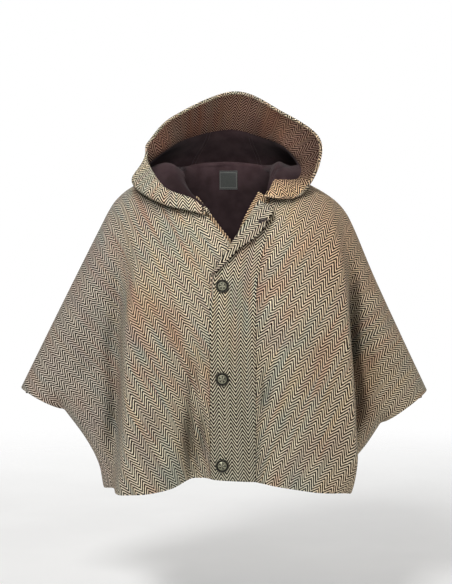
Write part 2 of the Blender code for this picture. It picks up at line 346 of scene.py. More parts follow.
class SmoothPath:
    """A smooth line through a few points, read by the share of its length."""

    STEPS = 14

    def __init__(self, points: Sequence[Sequence[float]]) -> None:
        """Samples the line.

        Args:
            points: the points that it goes through
        """
        counts = np.arange((len(points) - 1) * self.STEPS + 1) / self.STEPS
        self.points = smooth_line(np.array(points, float), counts)
        lengths = np.linalg.norm(np.diff(self.points, axis=0), axis=1)
        self.shares = np.concatenate([[0.0], np.cumsum(lengths)]) / lengths.sum()

    def at(self, share: Array) -> Array:
        """Points at shares of the length."""
        return np.stack([np.interp(share, self.shares, column) for column in self.points.T], axis=-1)

    def distance(self, places: Array) -> Array:
        """Measures how far places are from the line.

        Args:
            places: one row for each place

        Returns:
            The distance of each place.
        """
        start = self.points[:-1]
        along = np.diff(self.points, axis=0)
        reach = places[:, None, :] - start
        t = np.clip((reach * along).sum(-1) / (along * along).sum(-1), 0.0, 1.0)
        return np.linalg.norm(reach - along * t[..., None], axis=-1).min(1)


def unit(vectors: Array) -> Array:
    """Vectors of length one."""
    return vectors / np.maximum(np.linalg.norm(vectors, axis=-1, keepdims=True), 1e-9)


def grid_normals(places: Array, turn: int) -> Array:
    """Normals of a grid of places.

    Args:
        places: rows x columns x 3
        turn: 1 where columns crossed with rows point outwards, otherwise -1

    Returns:
        A unit vector for each place.
    """
    across = np.gradient(places, axis=1)
    down = np.gradient(places, axis=0)
    return unit(np.cross(across, down)) * turn


def lay_flat(places: Array, guide: Array, most: int = 46) -> Array:
    """Lays a grid of cloth flat with as little stretch as its shape allows, as a cutter's pattern.

    Args:
        places: rows x columns x 3, the worn cloth
        guide: rows x columns x 2, how the pattern is turned
        most: rows and columns of the coarser grid that is laid flat

    Returns:
        rows x columns x 2, the flat cloth in the same unit.
    """
    counts = places.shape[:2]
    keep = [np.unique(np.linspace(0, count - 1, min(count, most)).round().astype(int)) for count in counts]
    coarse = places[np.ix_(*keep)]
    flat = unwrap(coarse)
    flat = flat * grid_length(coarse) / grid_length(flat)
    aim = guide[np.ix_(*keep)].reshape(-1, 2)
    first = flat.reshape(-1, 2) - flat.reshape(-1, 2).mean(0)
    left, _, right = np.linalg.svd(first.T @ (aim - aim.mean(0)))
    flat = (first @ left @ right).reshape(flat.shape)
    for axis, count in enumerate(counts):
        at = np.interp(np.arange(count), keep[axis], np.arange(len(keep[axis])))
        flat = smooth_line(flat.swapaxes(0, axis), at).swapaxes(0, axis)
    return flat


def grid_length(places: Array) -> float:
    """Length of all lines of a grid together."""
    return sum(float(np.linalg.norm(np.diff(places, axis=axis), axis=-1).sum()) for axis in (0, 1))


def grid_quads(rows: int, columns: int) -> Array:
    """Corner numbers of a grid's cells."""
    a = np.arange(rows * columns).reshape(rows, columns)
    return np.stack([a[:-1, :-1], a[:-1, 1:], a[1:, 1:], a[1:, :-1]], axis=-1).reshape(-1, 4)


def column_lengths(places: Array) -> Array:
    """Length along each column of a grid, from its first row to every row."""
    steps = np.linalg.norm(np.diff(places, axis=0), axis=-1)
    return np.concatenate([np.zeros((1, steps.shape[1])), np.cumsum(steps, axis=0)])


def read_columns(at: Array, reach: Array, grid: Array) -> Array:
    """Reads each column of a grid between its rows.

    Args:
        at: where each column is read, one row for each reading
        reach: where each row of the grid stands, on the same measure
        grid: rows x columns x 3

    Returns:
        readings x columns x 3.
    """
    read = np.zeros((*at.shape, 3))
    for k in range(at.shape[1]):
        for i in range(3):
            read[:, k, i] = np.interp(at[:, k], reach[:, k], grid[:, k, i])
    return read


def corner_points(mesh: bpy.types.Mesh) -> Array:
    """The number of the point at each corner of a mesh's faces."""
    return np.array([corner.vertex_index for corner in mesh.loops])


def unwrap(places: Array) -> Array:
    """Unwraps a grid with the least stretch.

    Args:
        places: rows x columns x 3

    Returns:
        rows x columns x 2, in a scale and turn of its own.
    """
    rows, columns = places.shape[:2]
    mesh = make_mesh("pattern", places.reshape(-1, 3), grid_quads(rows, columns))
    mesh.uv_layers.new(name=UV_NAME)
    pattern = bpy.data.objects.new("pattern", mesh)
    bpy.context.scene.collection.objects.link(pattern)
    bpy.context.view_layer.objects.active = pattern
    pattern.select_set(True)
    bpy.ops.object.mode_set(mode="EDIT")
    bpy.ops.mesh.select_all(action="SELECT")
    bpy.ops.uv.unwrap(method="MINIMUM_STRETCH", margin=0.0, iterations=UNWRAP_ROUNDS)
    bpy.ops.object.mode_set(mode="OBJECT")
    read = np.zeros(len(mesh.loops) * 2, np.float32)
    mesh.uv_layers[UV_NAME].uv.foreach_get("vector", read)
    flat = np.zeros((rows * columns, 2))
    flat[corner_points(mesh)] = read.reshape(-1, 2)
    bpy.data.objects.remove(pattern)
    bpy.data.meshes.remove(mesh)
    return flat.reshape(rows, columns, 2)


def unrolled(places: Array) -> Array:
    """Makes a first flat lay, along each row and up each column by their lengths.

    Args:
        places: rows x columns x 3

    Returns:
        rows x columns x 2.
    """
    across = np.linalg.norm(np.diff(places, axis=1), axis=-1).mean(0)
    up = np.linalg.norm(np.diff(places, axis=0), axis=-1).mean(1)
    x = np.concatenate([[0.0], np.cumsum(across)])
    z = np.concatenate([[0.0], np.cumsum(up)])
    return np.stack(np.meshgrid(x - x.mean(), z), axis=-1)


def turned(flat: Array, degrees: float) -> Array:
    """Flat places turned about the origin."""
    c, s = math.cos(math.radians(degrees)), math.sin(math.radians(degrees))
    return flat @ np.array([[c, s], [-s, c]])


class NodeTree:
    """Short way to write the nodes of a material or a node group."""

    def __init__(self, tree: bpy.types.NodeTree) -> None:
        """Keeps the tree that the nodes go to."""
        self.tree = tree

    def feed(self, socket: Socket, value: object) -> None:
        """Links an input to a socket, or sets its value.

        Args:
            socket: the input
            value: a socket, or what the input is set to
        """
        if isinstance(value, Socket):
            self.tree.links.new(value, socket)
        else:
            socket.default_value = value

    def node(self, kind: str, feeds: dict[int | str, object], **settings: object) -> bpy.types.Node:
        """Adds a node.

        Args:
            kind: the node's type
            feeds: a socket or value for its inputs, by their number or name
            settings: the node's own settings

        Returns:
            The node.
        """
        made = self.tree.nodes.new(kind)
        for name, value in settings.items():
            setattr(made, name, value)
        for key, value in feeds.items():
            named = (given for given in made.inputs if given.enabled and given.name == key)
            self.feed(made.inputs[key] if isinstance(key, int) else next(named), value)
        return made

    def add(self, kind: str, feeds: dict[int | str, object], **settings: object) -> Socket:
        """Adds a node and gives its first output in use."""
        return next(given for given in self.node(kind, feeds, **settings).outputs if given.enabled)


class NodeSheet(NodeTree):
    """Nodes of a material, with the sums and patterns that the finishes use."""

    def __init__(self, name: str) -> None:
        """Starts a material with its shader and output.

        Args:
            name: the material's name
        """
        self.material = bpy.data.materials.new(name)
        self.material.use_nodes = True
        super().__init__(self.material.node_tree)

    def math(self, operation: str, *values: object) -> Socket:
        """One sum on numbers or sockets."""
        return self.node("ShaderNodeMath", dict(enumerate(values)), operation=operation).outputs[0]

    def mix(self, share: object, first: object, second: object, blend: str = "MIX") -> Socket:
        """Mixes two colours by a share of the second."""
        feeds = {0: share, 6: first, 7: second}
        return self.node("ShaderNodeMix", feeds, data_type="RGBA", blend_type=blend).outputs[2]

    def times(self, first: object, second: object) -> Socket:
        """Multiplies a colour by another or by a number."""
        return self.mix(1.0, first, second, "MULTIPLY")

    def step(self, value: object, low: float, high: float, bottom: float = 0.0, top: float = 1.0) -> Socket:
        """Soft step of a value between two limits, from a bottom to a top."""
        feeds = dict(enumerate((value, low, high, bottom, top)))
        return self.node("ShaderNodeMapRange", feeds, interpolation_type="SMOOTHSTEP").outputs[0]

    def object_place(self) -> Socket:
        """The object's own coordinates."""
        return self.node("ShaderNodeTexCoord", {}).outputs["Object"]

    def flat_place(self) -> Socket:
        """The flat coordinates of the weave."""
        return self.node("ShaderNodeUVMap", {}, uv_map=UV_NAME).outputs[0]

    def stored(self, name: str) -> Socket:
        """A number that is stored in the mesh."""
        return self.node("ShaderNodeAttribute", {}, attribute_name=name).outputs["Fac"]

    def axes(self, vector: Socket) -> tuple[Socket, ...]:
        """The three numbers of a vector."""
        return tuple(self.node("ShaderNodeSeparateXYZ", {0: vector}).outputs)

    def stretched(self, vector: Socket, scale: tuple[float, float, float], place: float = 0.0) -> Socket:
        """Coordinates times a scale, moved to a place of their own."""
        feeds = {"Vector": vector, "Location": (place, place * 0.7, place * 1.3), "Scale": scale}
        return self.node("ShaderNodeMapping", feeds).outputs[0]

    def noise(self, vector: Socket, scale: float, detail: float = 2.0) -> Socket:
        """Soft noise about one half."""
        feeds = {"Vector": vector, "Scale": scale, "Detail": detail}
        return self.node("ShaderNodeTexNoise", feeds).outputs[0]

    def speckle(self, value: Socket) -> Socket:
        """A random number for each whole number."""
        return self.node("ShaderNodeTexWhiteNoise", {"W": value}, noise_dimensions="1D").outputs[0]

    def bump(self, height: Socket, strength: float, distance: float, under: Socket | None = None) -> Socket:
        """A bump from a height, over another one where that is given."""
        feeds = {"Height": height, "Strength": strength, "Distance": distance}
        return self.node("ShaderNodeBump", feeds if under is None else feeds | {"Normal": under}).outputs[0]

    def shade(self, feeds: dict[str, object]) -> Material:
        """Feeds the shader.

        Args:
            feeds: a socket or value for its inputs, by their names

        Returns:
            The finished material.
        """
        for name, value in feeds.items():
            self.feed(self.tree.nodes["Principled BSDF"].inputs[name], value)
        return self.material


@dataclass(frozen=True)
class TweedFinish:
    """Herringbone tweed: pale warp over dark weft, with thin streaks and broad patches of other wools.

    Attributes:
        rust, teal, gold, plum: the other wools
        low_light_and_shade_warp, low_height, low_fade: warp at the foot as painted light and shade, up to
        where it is full, and how far it fades
        cool, warm: towards which the warp changes on the right sleeve and on the left side, partly the
            cloth's own tone and partly painted shade
        streaks, patches: strengths of the other wools
        painted_shade_level: brightness left by the painted shade where other cloth shuts the cloth in
        end_width, pick_height: of one warp yarn and one weft yarn
        ends_to_turn, picks_to_repeat: yarns in one arm of the herringbone and between its slanted lines
        pale_share, soft_edge: share of the warp in a repeat, and how softly it ends
        step_share: how far each yarn steps away from the next
        yarn_relief, furrow: height of a yarn's round section, and brightness left between two yarns by
            painted shade
        drift, drift_scale: how far and how often the yarns stray
        weft_tint: share of the other wools in the weft
    """

    name: str
    warp: Colour
    weft: Colour
    rust: Colour
    teal: Colour
    gold: Colour
    plum: Colour
    low_light_and_shade_warp: Colour | None = None
    low_height: float = -50.0 * MM
    low_fade: float = 40.0 * MM
    right_sleeve_tint_and_shade: Colour | None = None
    left_tint_and_shade: Colour | None = None
    streaks: float = 0.42
    patches: float = 0.40
    painted_shade_level: float = 0.50
    end_width: float = 1.222 * MM
    pick_height: float = 1.88 * MM
    ends_to_turn: float = 9.0
    picks_to_repeat: float = 4.0
    pale_share: float = 0.40
    soft_edge: float = 0.03
    step_share: float = 0.5
    yarn_relief: float = 0.35
    furrow_painted_shade: float = 0.66
    drift: float = 1.1 * MM
    drift_scale: float = 95.0
    weft_tint: float = 0.10

    STREAK_SCALE = (85.0, 5.5, 1.0)
    STREAK_LIMITS = (0.54, 0.70)
    PATCH_SCALE = (19.0, 8.0, 1.0)
    PATCH_LIMITS = (0.53, 0.72)
    SPUN_SCALE = (700.0, 160.0, 1.0)
    # Object-space limits of the tone and painted shade changes on the right sleeve, the left side and the
    # shoulder.
    RIGHT_SLEEVE = (-0.27, -0.13)
    LEFT_SIDE = (0.08, 0.22)
    SHOULDER = (-0.32, -0.14)

    def make(self) -> Material:
        """Builds the material on the weave's own flat coordinates.

        Returns:
            The material.
        """
        sheet = NodeSheet(self.name)
        flat = sheet.flat_place()
        waves = {"Vector": flat, "Scale": self.drift_scale}
        drift = sheet.node("ShaderNodeTexNoise", waves).outputs["Color"]
        strays = {0: drift, 1: (self.drift, self.drift, 0.0), 2: flat}
        uneven = sheet.node("ShaderNodeVectorMath", strays, operation="MULTIPLY_ADD").outputs[0]
        across, along, _ = sheet.axes(uneven)
        x = sheet.math("DIVIDE", across, self.end_width)
        y = sheet.math("DIVIDE", along, self.pick_height)
        end = sheet.math("FLOOR", x)
        pick = sheet.math("FLOOR", y)
        stepped = sheet.math("MULTIPLY_ADD", sheet.math("SUBTRACT", x, end), 1.0 - self.step_share, end)
        rising = sheet.math("ADD", y, sheet.math("PINGPONG", stepped, self.ends_to_turn))
        phase = sheet.math("FRACT", sheet.math("DIVIDE", rising, self.picks_to_repeat))
        away = sheet.math("ABSOLUTE", sheet.math("SUBTRACT", phase, 0.5))
        half = self.pale_share / 2
        warp_up = sheet.step(away, half - self.soft_edge, half + self.soft_edge, 1.0, 0.0)
        yarn = self.rounding(sheet, x)
        height = sheet.math("MULTIPLY_ADD", yarn, self.yarn_relief, sheet.step(away, 0.0, 0.4, 1.0, 0.0))
        warp, weft = self.yarns(sheet, flat, end, pick)
        # Painted shade at the sides of each yarn, darkening the grooves between yarns.
        woven = sheet.times(sheet.mix(warp_up, weft, warp), sheet.step(yarn, 0.0, 0.8, self.furrow_painted_shade, 1.0))
        # Painted shade: the colour is darkened where other cloth shuts the cloth in, in folds and under the
        # hood and the lapel.
        open_share = sheet.step(sheet.stored(PAINTED_SHADE_NAME), 0.03, 0.45, 1.0, self.painted_shade_level)
        nap = sheet.bump(sheet.noise(flat, 2400.0), 0.35, 0.0006)
        return sheet.shade({
            "Base Color": sheet.times(woven, open_share),
            "Normal": sheet.bump(height, 0.5, 0.0005, nap),
            "Roughness": 0.94,
            "Specular IOR Level": 0.06,
            "Sheen Weight": 0.03,
            "Sheen Roughness": 0.5,
        })

    @staticmethod
    def rounding(sheet: NodeSheet, count: Socket) -> Socket:
        """Round section of a yarn, 1 at its middle and 0 at its sides."""
        away = sheet.math("MULTIPLY_ADD", sheet.math("FRACT", count), 2.0, -1.0)
        return sheet.math("SUBTRACT", 1.0, sheet.math("MULTIPLY", away, away))

    def yarns(self, sheet: NodeSheet, flat: Socket, end: Socket, pick: Socket) -> tuple[Socket, Socket]:
        """Colours of the two yarns.

        Args:
            sheet: the material's nodes
            flat: flat coordinates
            end: number of the warp yarn
            pick: number of the weft yarn

        Returns:
            The warp's and the weft's colour.
        """
        warp: Socket | Colour = self.warp
        weft: Socket | Colour = self.weft
        for number, tint in enumerate((self.gold, self.teal, self.plum, self.rust)):
            thin = sheet.noise(sheet.stretched(flat, self.STREAK_SCALE, 3.0 + 7.0 * number), 1.0, 3.0)
            broad = sheet.noise(sheet.stretched(flat, self.PATCH_SCALE, 5.0 + 9.0 * number), 1.0)
            streak = sheet.step(thin, *self.STREAK_LIMITS, 0.0, self.streaks)
            patch = sheet.step(broad, *self.PATCH_LIMITS, 0.0, self.patches)
            share = sheet.math("MAXIMUM", streak, patch)
            warp = sheet.mix(share, warp, tint)
            weft = sheet.mix(sheet.math("MULTIPLY", share, self.weft_tint), weft, tint)
        x, _, z = sheet.axes(sheet.object_place())
        # Partly the cloth's own tone and partly painted shade: the warp changes on the right sleeve, and on
        # the left side towards the shoulder.
        if self.right_sleeve_tint_and_shade is not None:
            warp = sheet.mix(sheet.step(x, *self.RIGHT_SLEEVE, 0.55, 0.0), warp, self.right_sleeve_tint_and_shade)
        if self.left_tint_and_shade is not None:
            high = sheet.step(z, *self.SHOULDER, 0.35, 0.85)
            warp = sheet.mix(sheet.math("MULTIPLY", sheet.step(x, *self.LEFT_SIDE), high), warp, self.left_tint_and_shade)
        # Painted light and shade towards the foot: the warp turns to another colour below a height.
        if self.low_light_and_shade_warp is not None:
            low = sheet.step(z, self.low_height, self.low_height + self.low_fade, 1.0, 0.0)
            warp = sheet.mix(low, warp, self.low_light_and_shade_warp)
        spun = sheet.step(sheet.noise(sheet.stretched(flat, self.SPUN_SCALE), 1.0), 0.25, 0.75, 0.74, 1.02)
        bright = sheet.math("MULTIPLY_ADD", sheet.speckle(end), 0.26, spun)
        dark = sheet.math("MULTIPLY_ADD", sheet.speckle(pick), 0.7, 0.65)
        return sheet.times(warp, bright), sheet.times(weft, dark)


@dataclass(frozen=True)
class FleeceFinish:
    """Napped dark fleece, darker inside the cape than in its hood through painted shade."""

    name: str
    deep: Colour
    pale: Colour
    low: float = -60.0 * MM
    fade: float = 90.0 * MM
    low_shade_level: float = 0.50

    def make(self) -> Material:
        """Builds the material on the object's own coordinates.

        Returns:
            The material.
        """
        sheet = NodeSheet(self.name)
        place = sheet.object_place()
        cloudy = sheet.noise(place, 38.0, 4.0)
        tufts = sheet.noise(place, 900.0, 3.0)
        share = sheet.math("MULTIPLY_ADD", tufts, 0.5, sheet.step(cloudy, 0.3, 0.7, -0.1, 0.5))
        height = sheet.axes(place)[2]
        # Painted shade: the fleece is darkened lower down, inside the cape, and keeps its colour up in the
        # hood.
        painted_low_shade = sheet.step(height, self.low, self.low + self.fade, self.low_shade_level, 1.0)
        soft = sheet.bump(cloudy, 0.25, 0.003)
        return sheet.shade({
            "Base Color": sheet.times(sheet.mix(share, self.deep, self.pale), painted_low_shade),
            "Normal": sheet.bump(tufts, 0.5, 0.0008, soft),
            "Roughness": sheet.step(tufts, 0.3, 0.7, 0.88, 1.0),
            "Specular IOR Level": 0.1,
            "Sheen Weight": 0.05,
            "Sheen Roughness": 0.5,
        })


@dataclass(frozen=True)
class LabelFinish:
    """Bare woven label: fine dark rib with a paler border."""

    name: str
    ground: Colour
    thread: Colour
    width: float
    length: float
    border: float = 2.6 * MM
    rib: float = 0.45 * MM

    def make(self) -> Material:
        """Builds the material on the label's flat coordinates.

        Returns:
            The material.
        """
        sheet = NodeSheet(self.name)
        flat = sheet.flat_place()
        x, y, _ = sheet.axes(flat)
        ribs = sheet.math("SINE", sheet.math("MULTIPLY", y, 2 * math.pi / self.rib))
        side = sheet.math("SUBTRACT", self.width / 2, sheet.math("ABSOLUTE", x))
        end = sheet.math("SUBTRACT", self.length / 2, sheet.math("ABSOLUTE", y))
        inset = sheet.math("MINIMUM", side, end)
        off = sheet.math("ABSOLUTE", sheet.math("SUBTRACT", inset, self.border))
        line = sheet.step(off, 0.3 * MM, 0.7 * MM, 0.75, 0.0)
        mottle = sheet.noise(flat, 420.0, 3.0)
        share = sheet.math("ADD", line, sheet.step(mottle, 0.35, 0.8, 0.0, 0.22))
        return sheet.shade({
            "Base Color": sheet.mix(share, self.ground, self.thread),
            "Normal": sheet.bump(ribs, 0.35, 0.0002),
            "Roughness": sheet.step(mottle, 0.3, 0.7, 0.55, 0.72),
            "Sheen Weight": 0.2,
        })


@dataclass(frozen=True)
class MetalFinish:
    """Antiqued metal: dark in its hollows and rubbed bright where it stands proud."""

    name: str
    dark: Colour
    rubbed: Colour

    def make(self) -> Material:
        """Builds the material on the object's coordinates and the height stored in the mesh.

        Returns:
            The material.
        """
        sheet = NodeSheet(self.name)
        patina = sheet.noise(sheet.object_place(), 420.0, 4.0)
        proud = sheet.math("SUBTRACT", sheet.stored(PROUD_NAME), 0.38)
        share = sheet.step(sheet.math("MULTIPLY_ADD", patina, 0.7, proud), 0.20, 0.85)
        return sheet.shade({
            "Base Color": sheet.mix(share, self.dark, self.rubbed),
            "Roughness": sheet.step(share, 0.0, 1.0, 0.62, 0.36),
            "Normal": sheet.bump(patina, 0.25, 0.0004),
            "Metallic": 0.6,
        })


@dataclass(frozen=True)
class ThreadFinish:
    """Sewing thread, mottled along its twist."""

    name: str
    colour: Colour
    shade: Colour

    def make(self) -> Material:
        """Builds the material on the object's own coordinates.

        Returns:
            The material.
        """
        sheet = NodeSheet(self.name)
        twist = sheet.noise(sheet.object_place(), 1500.0)
        return sheet.shade({
            "Base Color": sheet.mix(sheet.step(twist, 0.3, 0.7), self.shade, self.colour),
            "Normal": sheet.bump(twist, 0.4, 0.0002),
            "Roughness": sheet.step(twist, 0.2, 0.8, 0.6, 0.8),
        })


@dataclass(frozen=True)
class FloorFinish:
    """Pale floor with a faint grain, which fades out towards its edge."""

    name: str
    colour: Colour
    grain: Colour
    radius: float

    def make(self) -> Material:
        """Builds the material on the object's own coordinates.

        Returns:
            The material.
        """
        sheet = NodeSheet(self.name)
        place = sheet.object_place()
        share = sheet.step(sheet.noise(place, 3.0, 4.0), 0.3, 0.7)
        level = sheet.stretched(place, (1.0, 1.0, 0.0))
        away = sheet.node("ShaderNodeVectorMath", {0: level}, operation="LENGTH").outputs["Value"]
        return sheet.shade({
            "Base Color": sheet.mix(share, self.colour, self.grain),
            "Alpha": sheet.step(away, 0.25 * self.radius, 0.95 * self.radius, 1.0, 0.0),
            "Roughness": 0.9,
            "Specular IOR Level": 0.2,
        })


def make_mesh(name: str, points: Array, faces: Sequence[Sequence[int]]) -> bpy.types.Mesh:
    """Makes a smooth mesh in metres.

    Args:
        name: the mesh's name
        points: its points in millimetres
        faces: the points of each face

    Returns:
        The mesh.
    """
    mesh = bpy.data.meshes.new(name)
    mesh.from_pydata((np.asarray(points) * MM).tolist(), [], [list(face) for face in faces])
    mesh.polygons.foreach_set("use_smooth", [True] * len(mesh.polygons))
    mesh.update()
    return mesh


def store(mesh: bpy.types.Mesh, name: str, values: Array) -> None:
    """Stores a number for each point of a mesh."""
    layer = mesh.attributes.new(name, "FLOAT", "POINT")
    layer.data.foreach_set("value", values.astype(np.float32))


def show(
    name: str,
    mesh: bpy.types.Mesh,
    materials: Sequence[Material] = (),
    node: str | None = None,
) -> bpy.types.Object:
    """Puts a finished mesh in the scene as a piece that rides on the cape's body.

    Args:
        name: the piece's name
        mesh: its mesh
        materials: what the mesh still has to be given
        node: the CAD node that the piece stands for

    Returns:
        The piece.
    """
    made = bpy.data.objects.new(name, mesh)
    for material in materials:
        mesh.materials.append(material)
    bpy.context.scene.collection.objects.link(made)
    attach(made, BODY)
    if node is not None:
        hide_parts(node)
    LOG.info("%s: %d faces", name, len(mesh.polygons))
    return made


@dataclass
class Cloth:
    """A sheet of cloth, given by a grid of places on the face that shows.

    Attributes:
        name: the piece's name
        places: rows x columns x 3, in millimetres
        thickness: of the cloth, in millimetres
        turn: 1 where columns crossed with rows point out of the showing face, otherwise -1
        guide: rows x columns x 2, how the sheet starts to be laid flat
        grain: degrees that the weave's columns are turned from the guide's second axis
        faced: rows x columns, 1 where the back of the sheet has the first finish too
    """

    name: str
    places: Array
    thickness: float
    turn: int
    guide: Array
    grain: float = 0.0
    faced: Array | None = None
    rim_steps: int = 3
    flat: Array = field(init=False)
    normals: Array = field(init=False)
    mesh: bpy.types.Mesh | None = field(init=False, default=None)

    def __post_init__(self) -> None:
        """Works out the normals and the flat cut."""
        self.normals = grid_normals(self.places, self.turn)
        self.flat = lay_flat(self.places, self.guide)

    def rim(self) -> tuple[Array, Array]:
        """The grid's boundary, once round.

        Returns:
            Row and column of each boundary place.
        """
        rows, columns = self.places.shape[:2]
        down, across = np.arange(rows - 1), np.arange(columns - 1)
        r = np.concatenate([0 * across, down, 0 * across + rows - 1, rows - 1 - down])
        c = np.concatenate([across, 0 * down + columns - 1, columns - 1 - across, 0 * down])
        return r, c

    def shell(self) -> tuple[Array, list[list[int]], Array, list[int]]:
        """The sheet as a closed shell with round edges.

        Returns:
            Points, faces, flat place of each point and finish number of each face.
        """
        rows, columns = self.places.shape[:2]
        count = rows * columns
        half = self.thickness / 2
        middle = self.places - self.normals * half
        r, c = self.rim()
        inner_r = np.clip(r, 1, rows - 2)
        inner_c = np.clip(c, 1, columns - 2)
        outward = middle[r, c] - middle[inner_r, inner_c]
        normal = self.normals[r, c]
        outward = unit(outward - normal * (outward * normal).sum(-1, keepdims=True))
        points = [self.places.reshape(-1, 3), (middle - self.normals * half).reshape(-1, 3)]
        flats = [self.flat.reshape(-1, 2)] * 2
        loops = [r * columns + c]
        for k in range(1, self.rim_steps + 1):
            angle = math.pi * k / (self.rim_steps + 1)
            points.append(middle[r, c] + half * (math.cos(angle) * normal + math.sin(angle) * outward))
            flats.append(self.flat[r, c])
            loops.append(2 * count + (k - 1) * len(r) + np.arange(len(r)))
        loops.append(count + r * columns + c)
        quads = grid_quads(rows, columns)
        round_faces = []
        for outer, inner in zip(loops[:-1], loops[1:]):
            following = np.roll(outer, -1)
            round_faces.append(np.stack([following, outer, inner, np.roll(inner, -1)], -1))
        rim_quads = np.concatenate(round_faces)
        faces = np.concatenate([quads, (quads + count)[:, ::-1], rim_quads])
        if self.turn < 0:
            faces = faces[:, ::-1]
        inside = np.ones((rows - 1, columns - 1), int)
        if self.faced is not None:
            inside = np.where(self.faced[:-1, :-1] > 0.5, 0, 1)
        shown, edge = np.zeros(len(quads), int), np.zeros(len(rim_quads), int)
        finish = np.concatenate([shown, inside.reshape(-1), edge])
        return np.concatenate(points), faces.tolist(), np.concatenate(flats), finish.tolist()

    def build(self, materials: Sequence[Material], slot: Slot, node: str | None = None) -> bpy.types.Object:
        """Makes the piece.

        Args:
            materials: of the face that shows and of the other face
            slot: the record's slot of its finish; not used
            node: the CAD node that the piece stands for

        Returns:
            The piece.
        """
        points, faces, flats, numbers = self.shell()
        self.mesh = make_mesh(self.name, points, faces)
        self.mesh.polygons.foreach_set("material_index", numbers)
        layer = self.mesh.uv_layers.new(name=UV_NAME)
        woven = turned(flats, self.grain) * MM
        layer.uv.foreach_set("vector", woven[corner_points(self.mesh)].astype(np.float32).ravel())
        return show(self.name, self.mesh, materials, node)

    def keep_painted_shade(self, outer: Array, inner: Array) -> None:
        """Stores the painted shade: how far each place is shut in.

        Args:
            outer: of the face that shows
            inner: of the other face
        """
        r, c = self.rim()
        values = np.concatenate([outer.ravel(), inner.ravel()] + [outer[r, c]] * self.rim_steps)
        store(self.mesh, PAINTED_SHADE_NAME, values)

    def line(self, edge: Edge, inset: float, lift: float = 0.0) -> tuple[Array, Array]:
        """A line on the sheet at a distance from one of its edges.

        Args:
            edge: the edge that it follows
            inset: its distance from the edge, in millimetres
            lift: how far it lies above the face

        Returns:
            Points and normals along the line.
        """
        places, normals = self.places, self.normals
        if edge in (Edge.FIRST_COLUMN, Edge.LAST_COLUMN):
            places, normals = places.swapaxes(0, 1), normals.swapaxes(0, 1)
        if edge in (Edge.LAST_ROW, Edge.LAST_COLUMN):
            places, normals = places[::-1], normals[::-1]
        reach = column_lengths(places)
        at = np.full((1, places.shape[1]), inset)
        up = unit(read_columns(at, reach, normals)[0])
        return read_columns(at, reach, places)[0] + up * lift, up


ARM_LINE = (
    EdgeRow(-88, 0, 102, 0),
    EdgeRow(-132, -14, 143, -14),
    EdgeRow(-182, -33, 186, -33),
    EdgeRow(-213, -57, 225, -57),
    EdgeRow(-231, -82, 250, -82),
    EdgeRow(-250, -119, 270, -119),
    EdgeRow(-299, -217, 311, -217),
    EdgeRow(-355, -330, 363, -330),
    EdgeRow(-411, -444, 419, -449),
)
UNDERARM = (
    EdgeRow(-244, -650, 247, -650),
    EdgeRow(-254, -600, 266, -602),
    EdgeRow(-281, -548, 298, -560),
    EdgeRow(-324, -489, 326, -517),
)
FRONT_NECK = (
    EdgeRow(-27, -103, 92, -76),
    EdgeRow(-58, -74, 103, -52),
    EdgeRow(-80, -38, 106, -25),
    EdgeRow(-88, 0, 102, 0),
)
BACK_NECK = (
    EdgeRow(8, 20, 8, 20),
    EdgeRow(-40, 16, 54, 16),
    EdgeRow(-70, 9, 84, 9),
    EdgeRow(-88, 0, 102, 0),
)
FRONT_HEM = (
    EdgeRow(30, -611, 40, -612),
    EdgeRow(-20, -610, 64, -615),
    EdgeRow(-60, -613, 105, -625),
    EdgeRow(-95, -627, 170, -632),
    EdgeRow(-140, -635, 215, -635),
    EdgeRow(-200, -641, 232, -642),
    EdgeRow(-244, -650, 247, -650),
)
BACK_HEM = (
    EdgeRow(8, -652, 8, -652),
    EdgeRow(-100, -656, 108, -656),
    EdgeRow(-190, -654, 196, -654),
    EdgeRow(-244, -650, 247, -650),
)
FRONT_EDGE = (
    EdgeRow(-27, -103, 92, -76),
    EdgeRow(15, -155, 62, -150),
    EdgeRow(26, -185, 46, -205),
    EdgeRow(30, -230, 40, -260),
    EdgeRow(30, -611, 40, -612),
)
SECTIONS = (
    Section(20, 5, 64, 74, 64, 70, 190, 205, 0, 118),
    Section(-60, 4, 88, 98, 82, 86, 190, 222, 0, 104),
    Section(-130, 3, 113, 115, 82, 82, 186, 234, 2, 86),
    Section(-210, 2, 133, 123, 70, 72, 184, 238, 8, 74),
    Section(-300, 1, 143, 128, 58, 62, 184, 240, 14, 66),
    Section(-420, 1, 149, 136, 48, 54, 186, 243, 20, 60),
    Section(-540, 6, 152, 147, 44, 52, 192, 246, 24, 60),
    Section(-660, 12, 154, 160, 42, 52, 204, 250, 26, 60),
)
FOLDS = (
    Fold(Face.FRONT, -128, -170, -146, 46, 18),
    Fold(Face.FRONT, -78, -250, -50, 30, -30),
    Fold(Face.FRONT, 88, -300, 98, 34, -9),
    Fold(Face.FRONT, 168, -170, 196, 44, 16),
    Fold(Face.BACK, -6, -190, 4, 52, 20),
    Fold(Face.BACK, -96, -240, -104, 44, -18),
    Fold(Face.BACK, 104, -230, 112, 44, -18),
    Fold(Face.BACK, -176, -200, -188, 40, 18),
    Fold(Face.BACK, 182, -210, 194, 40, 16),
)
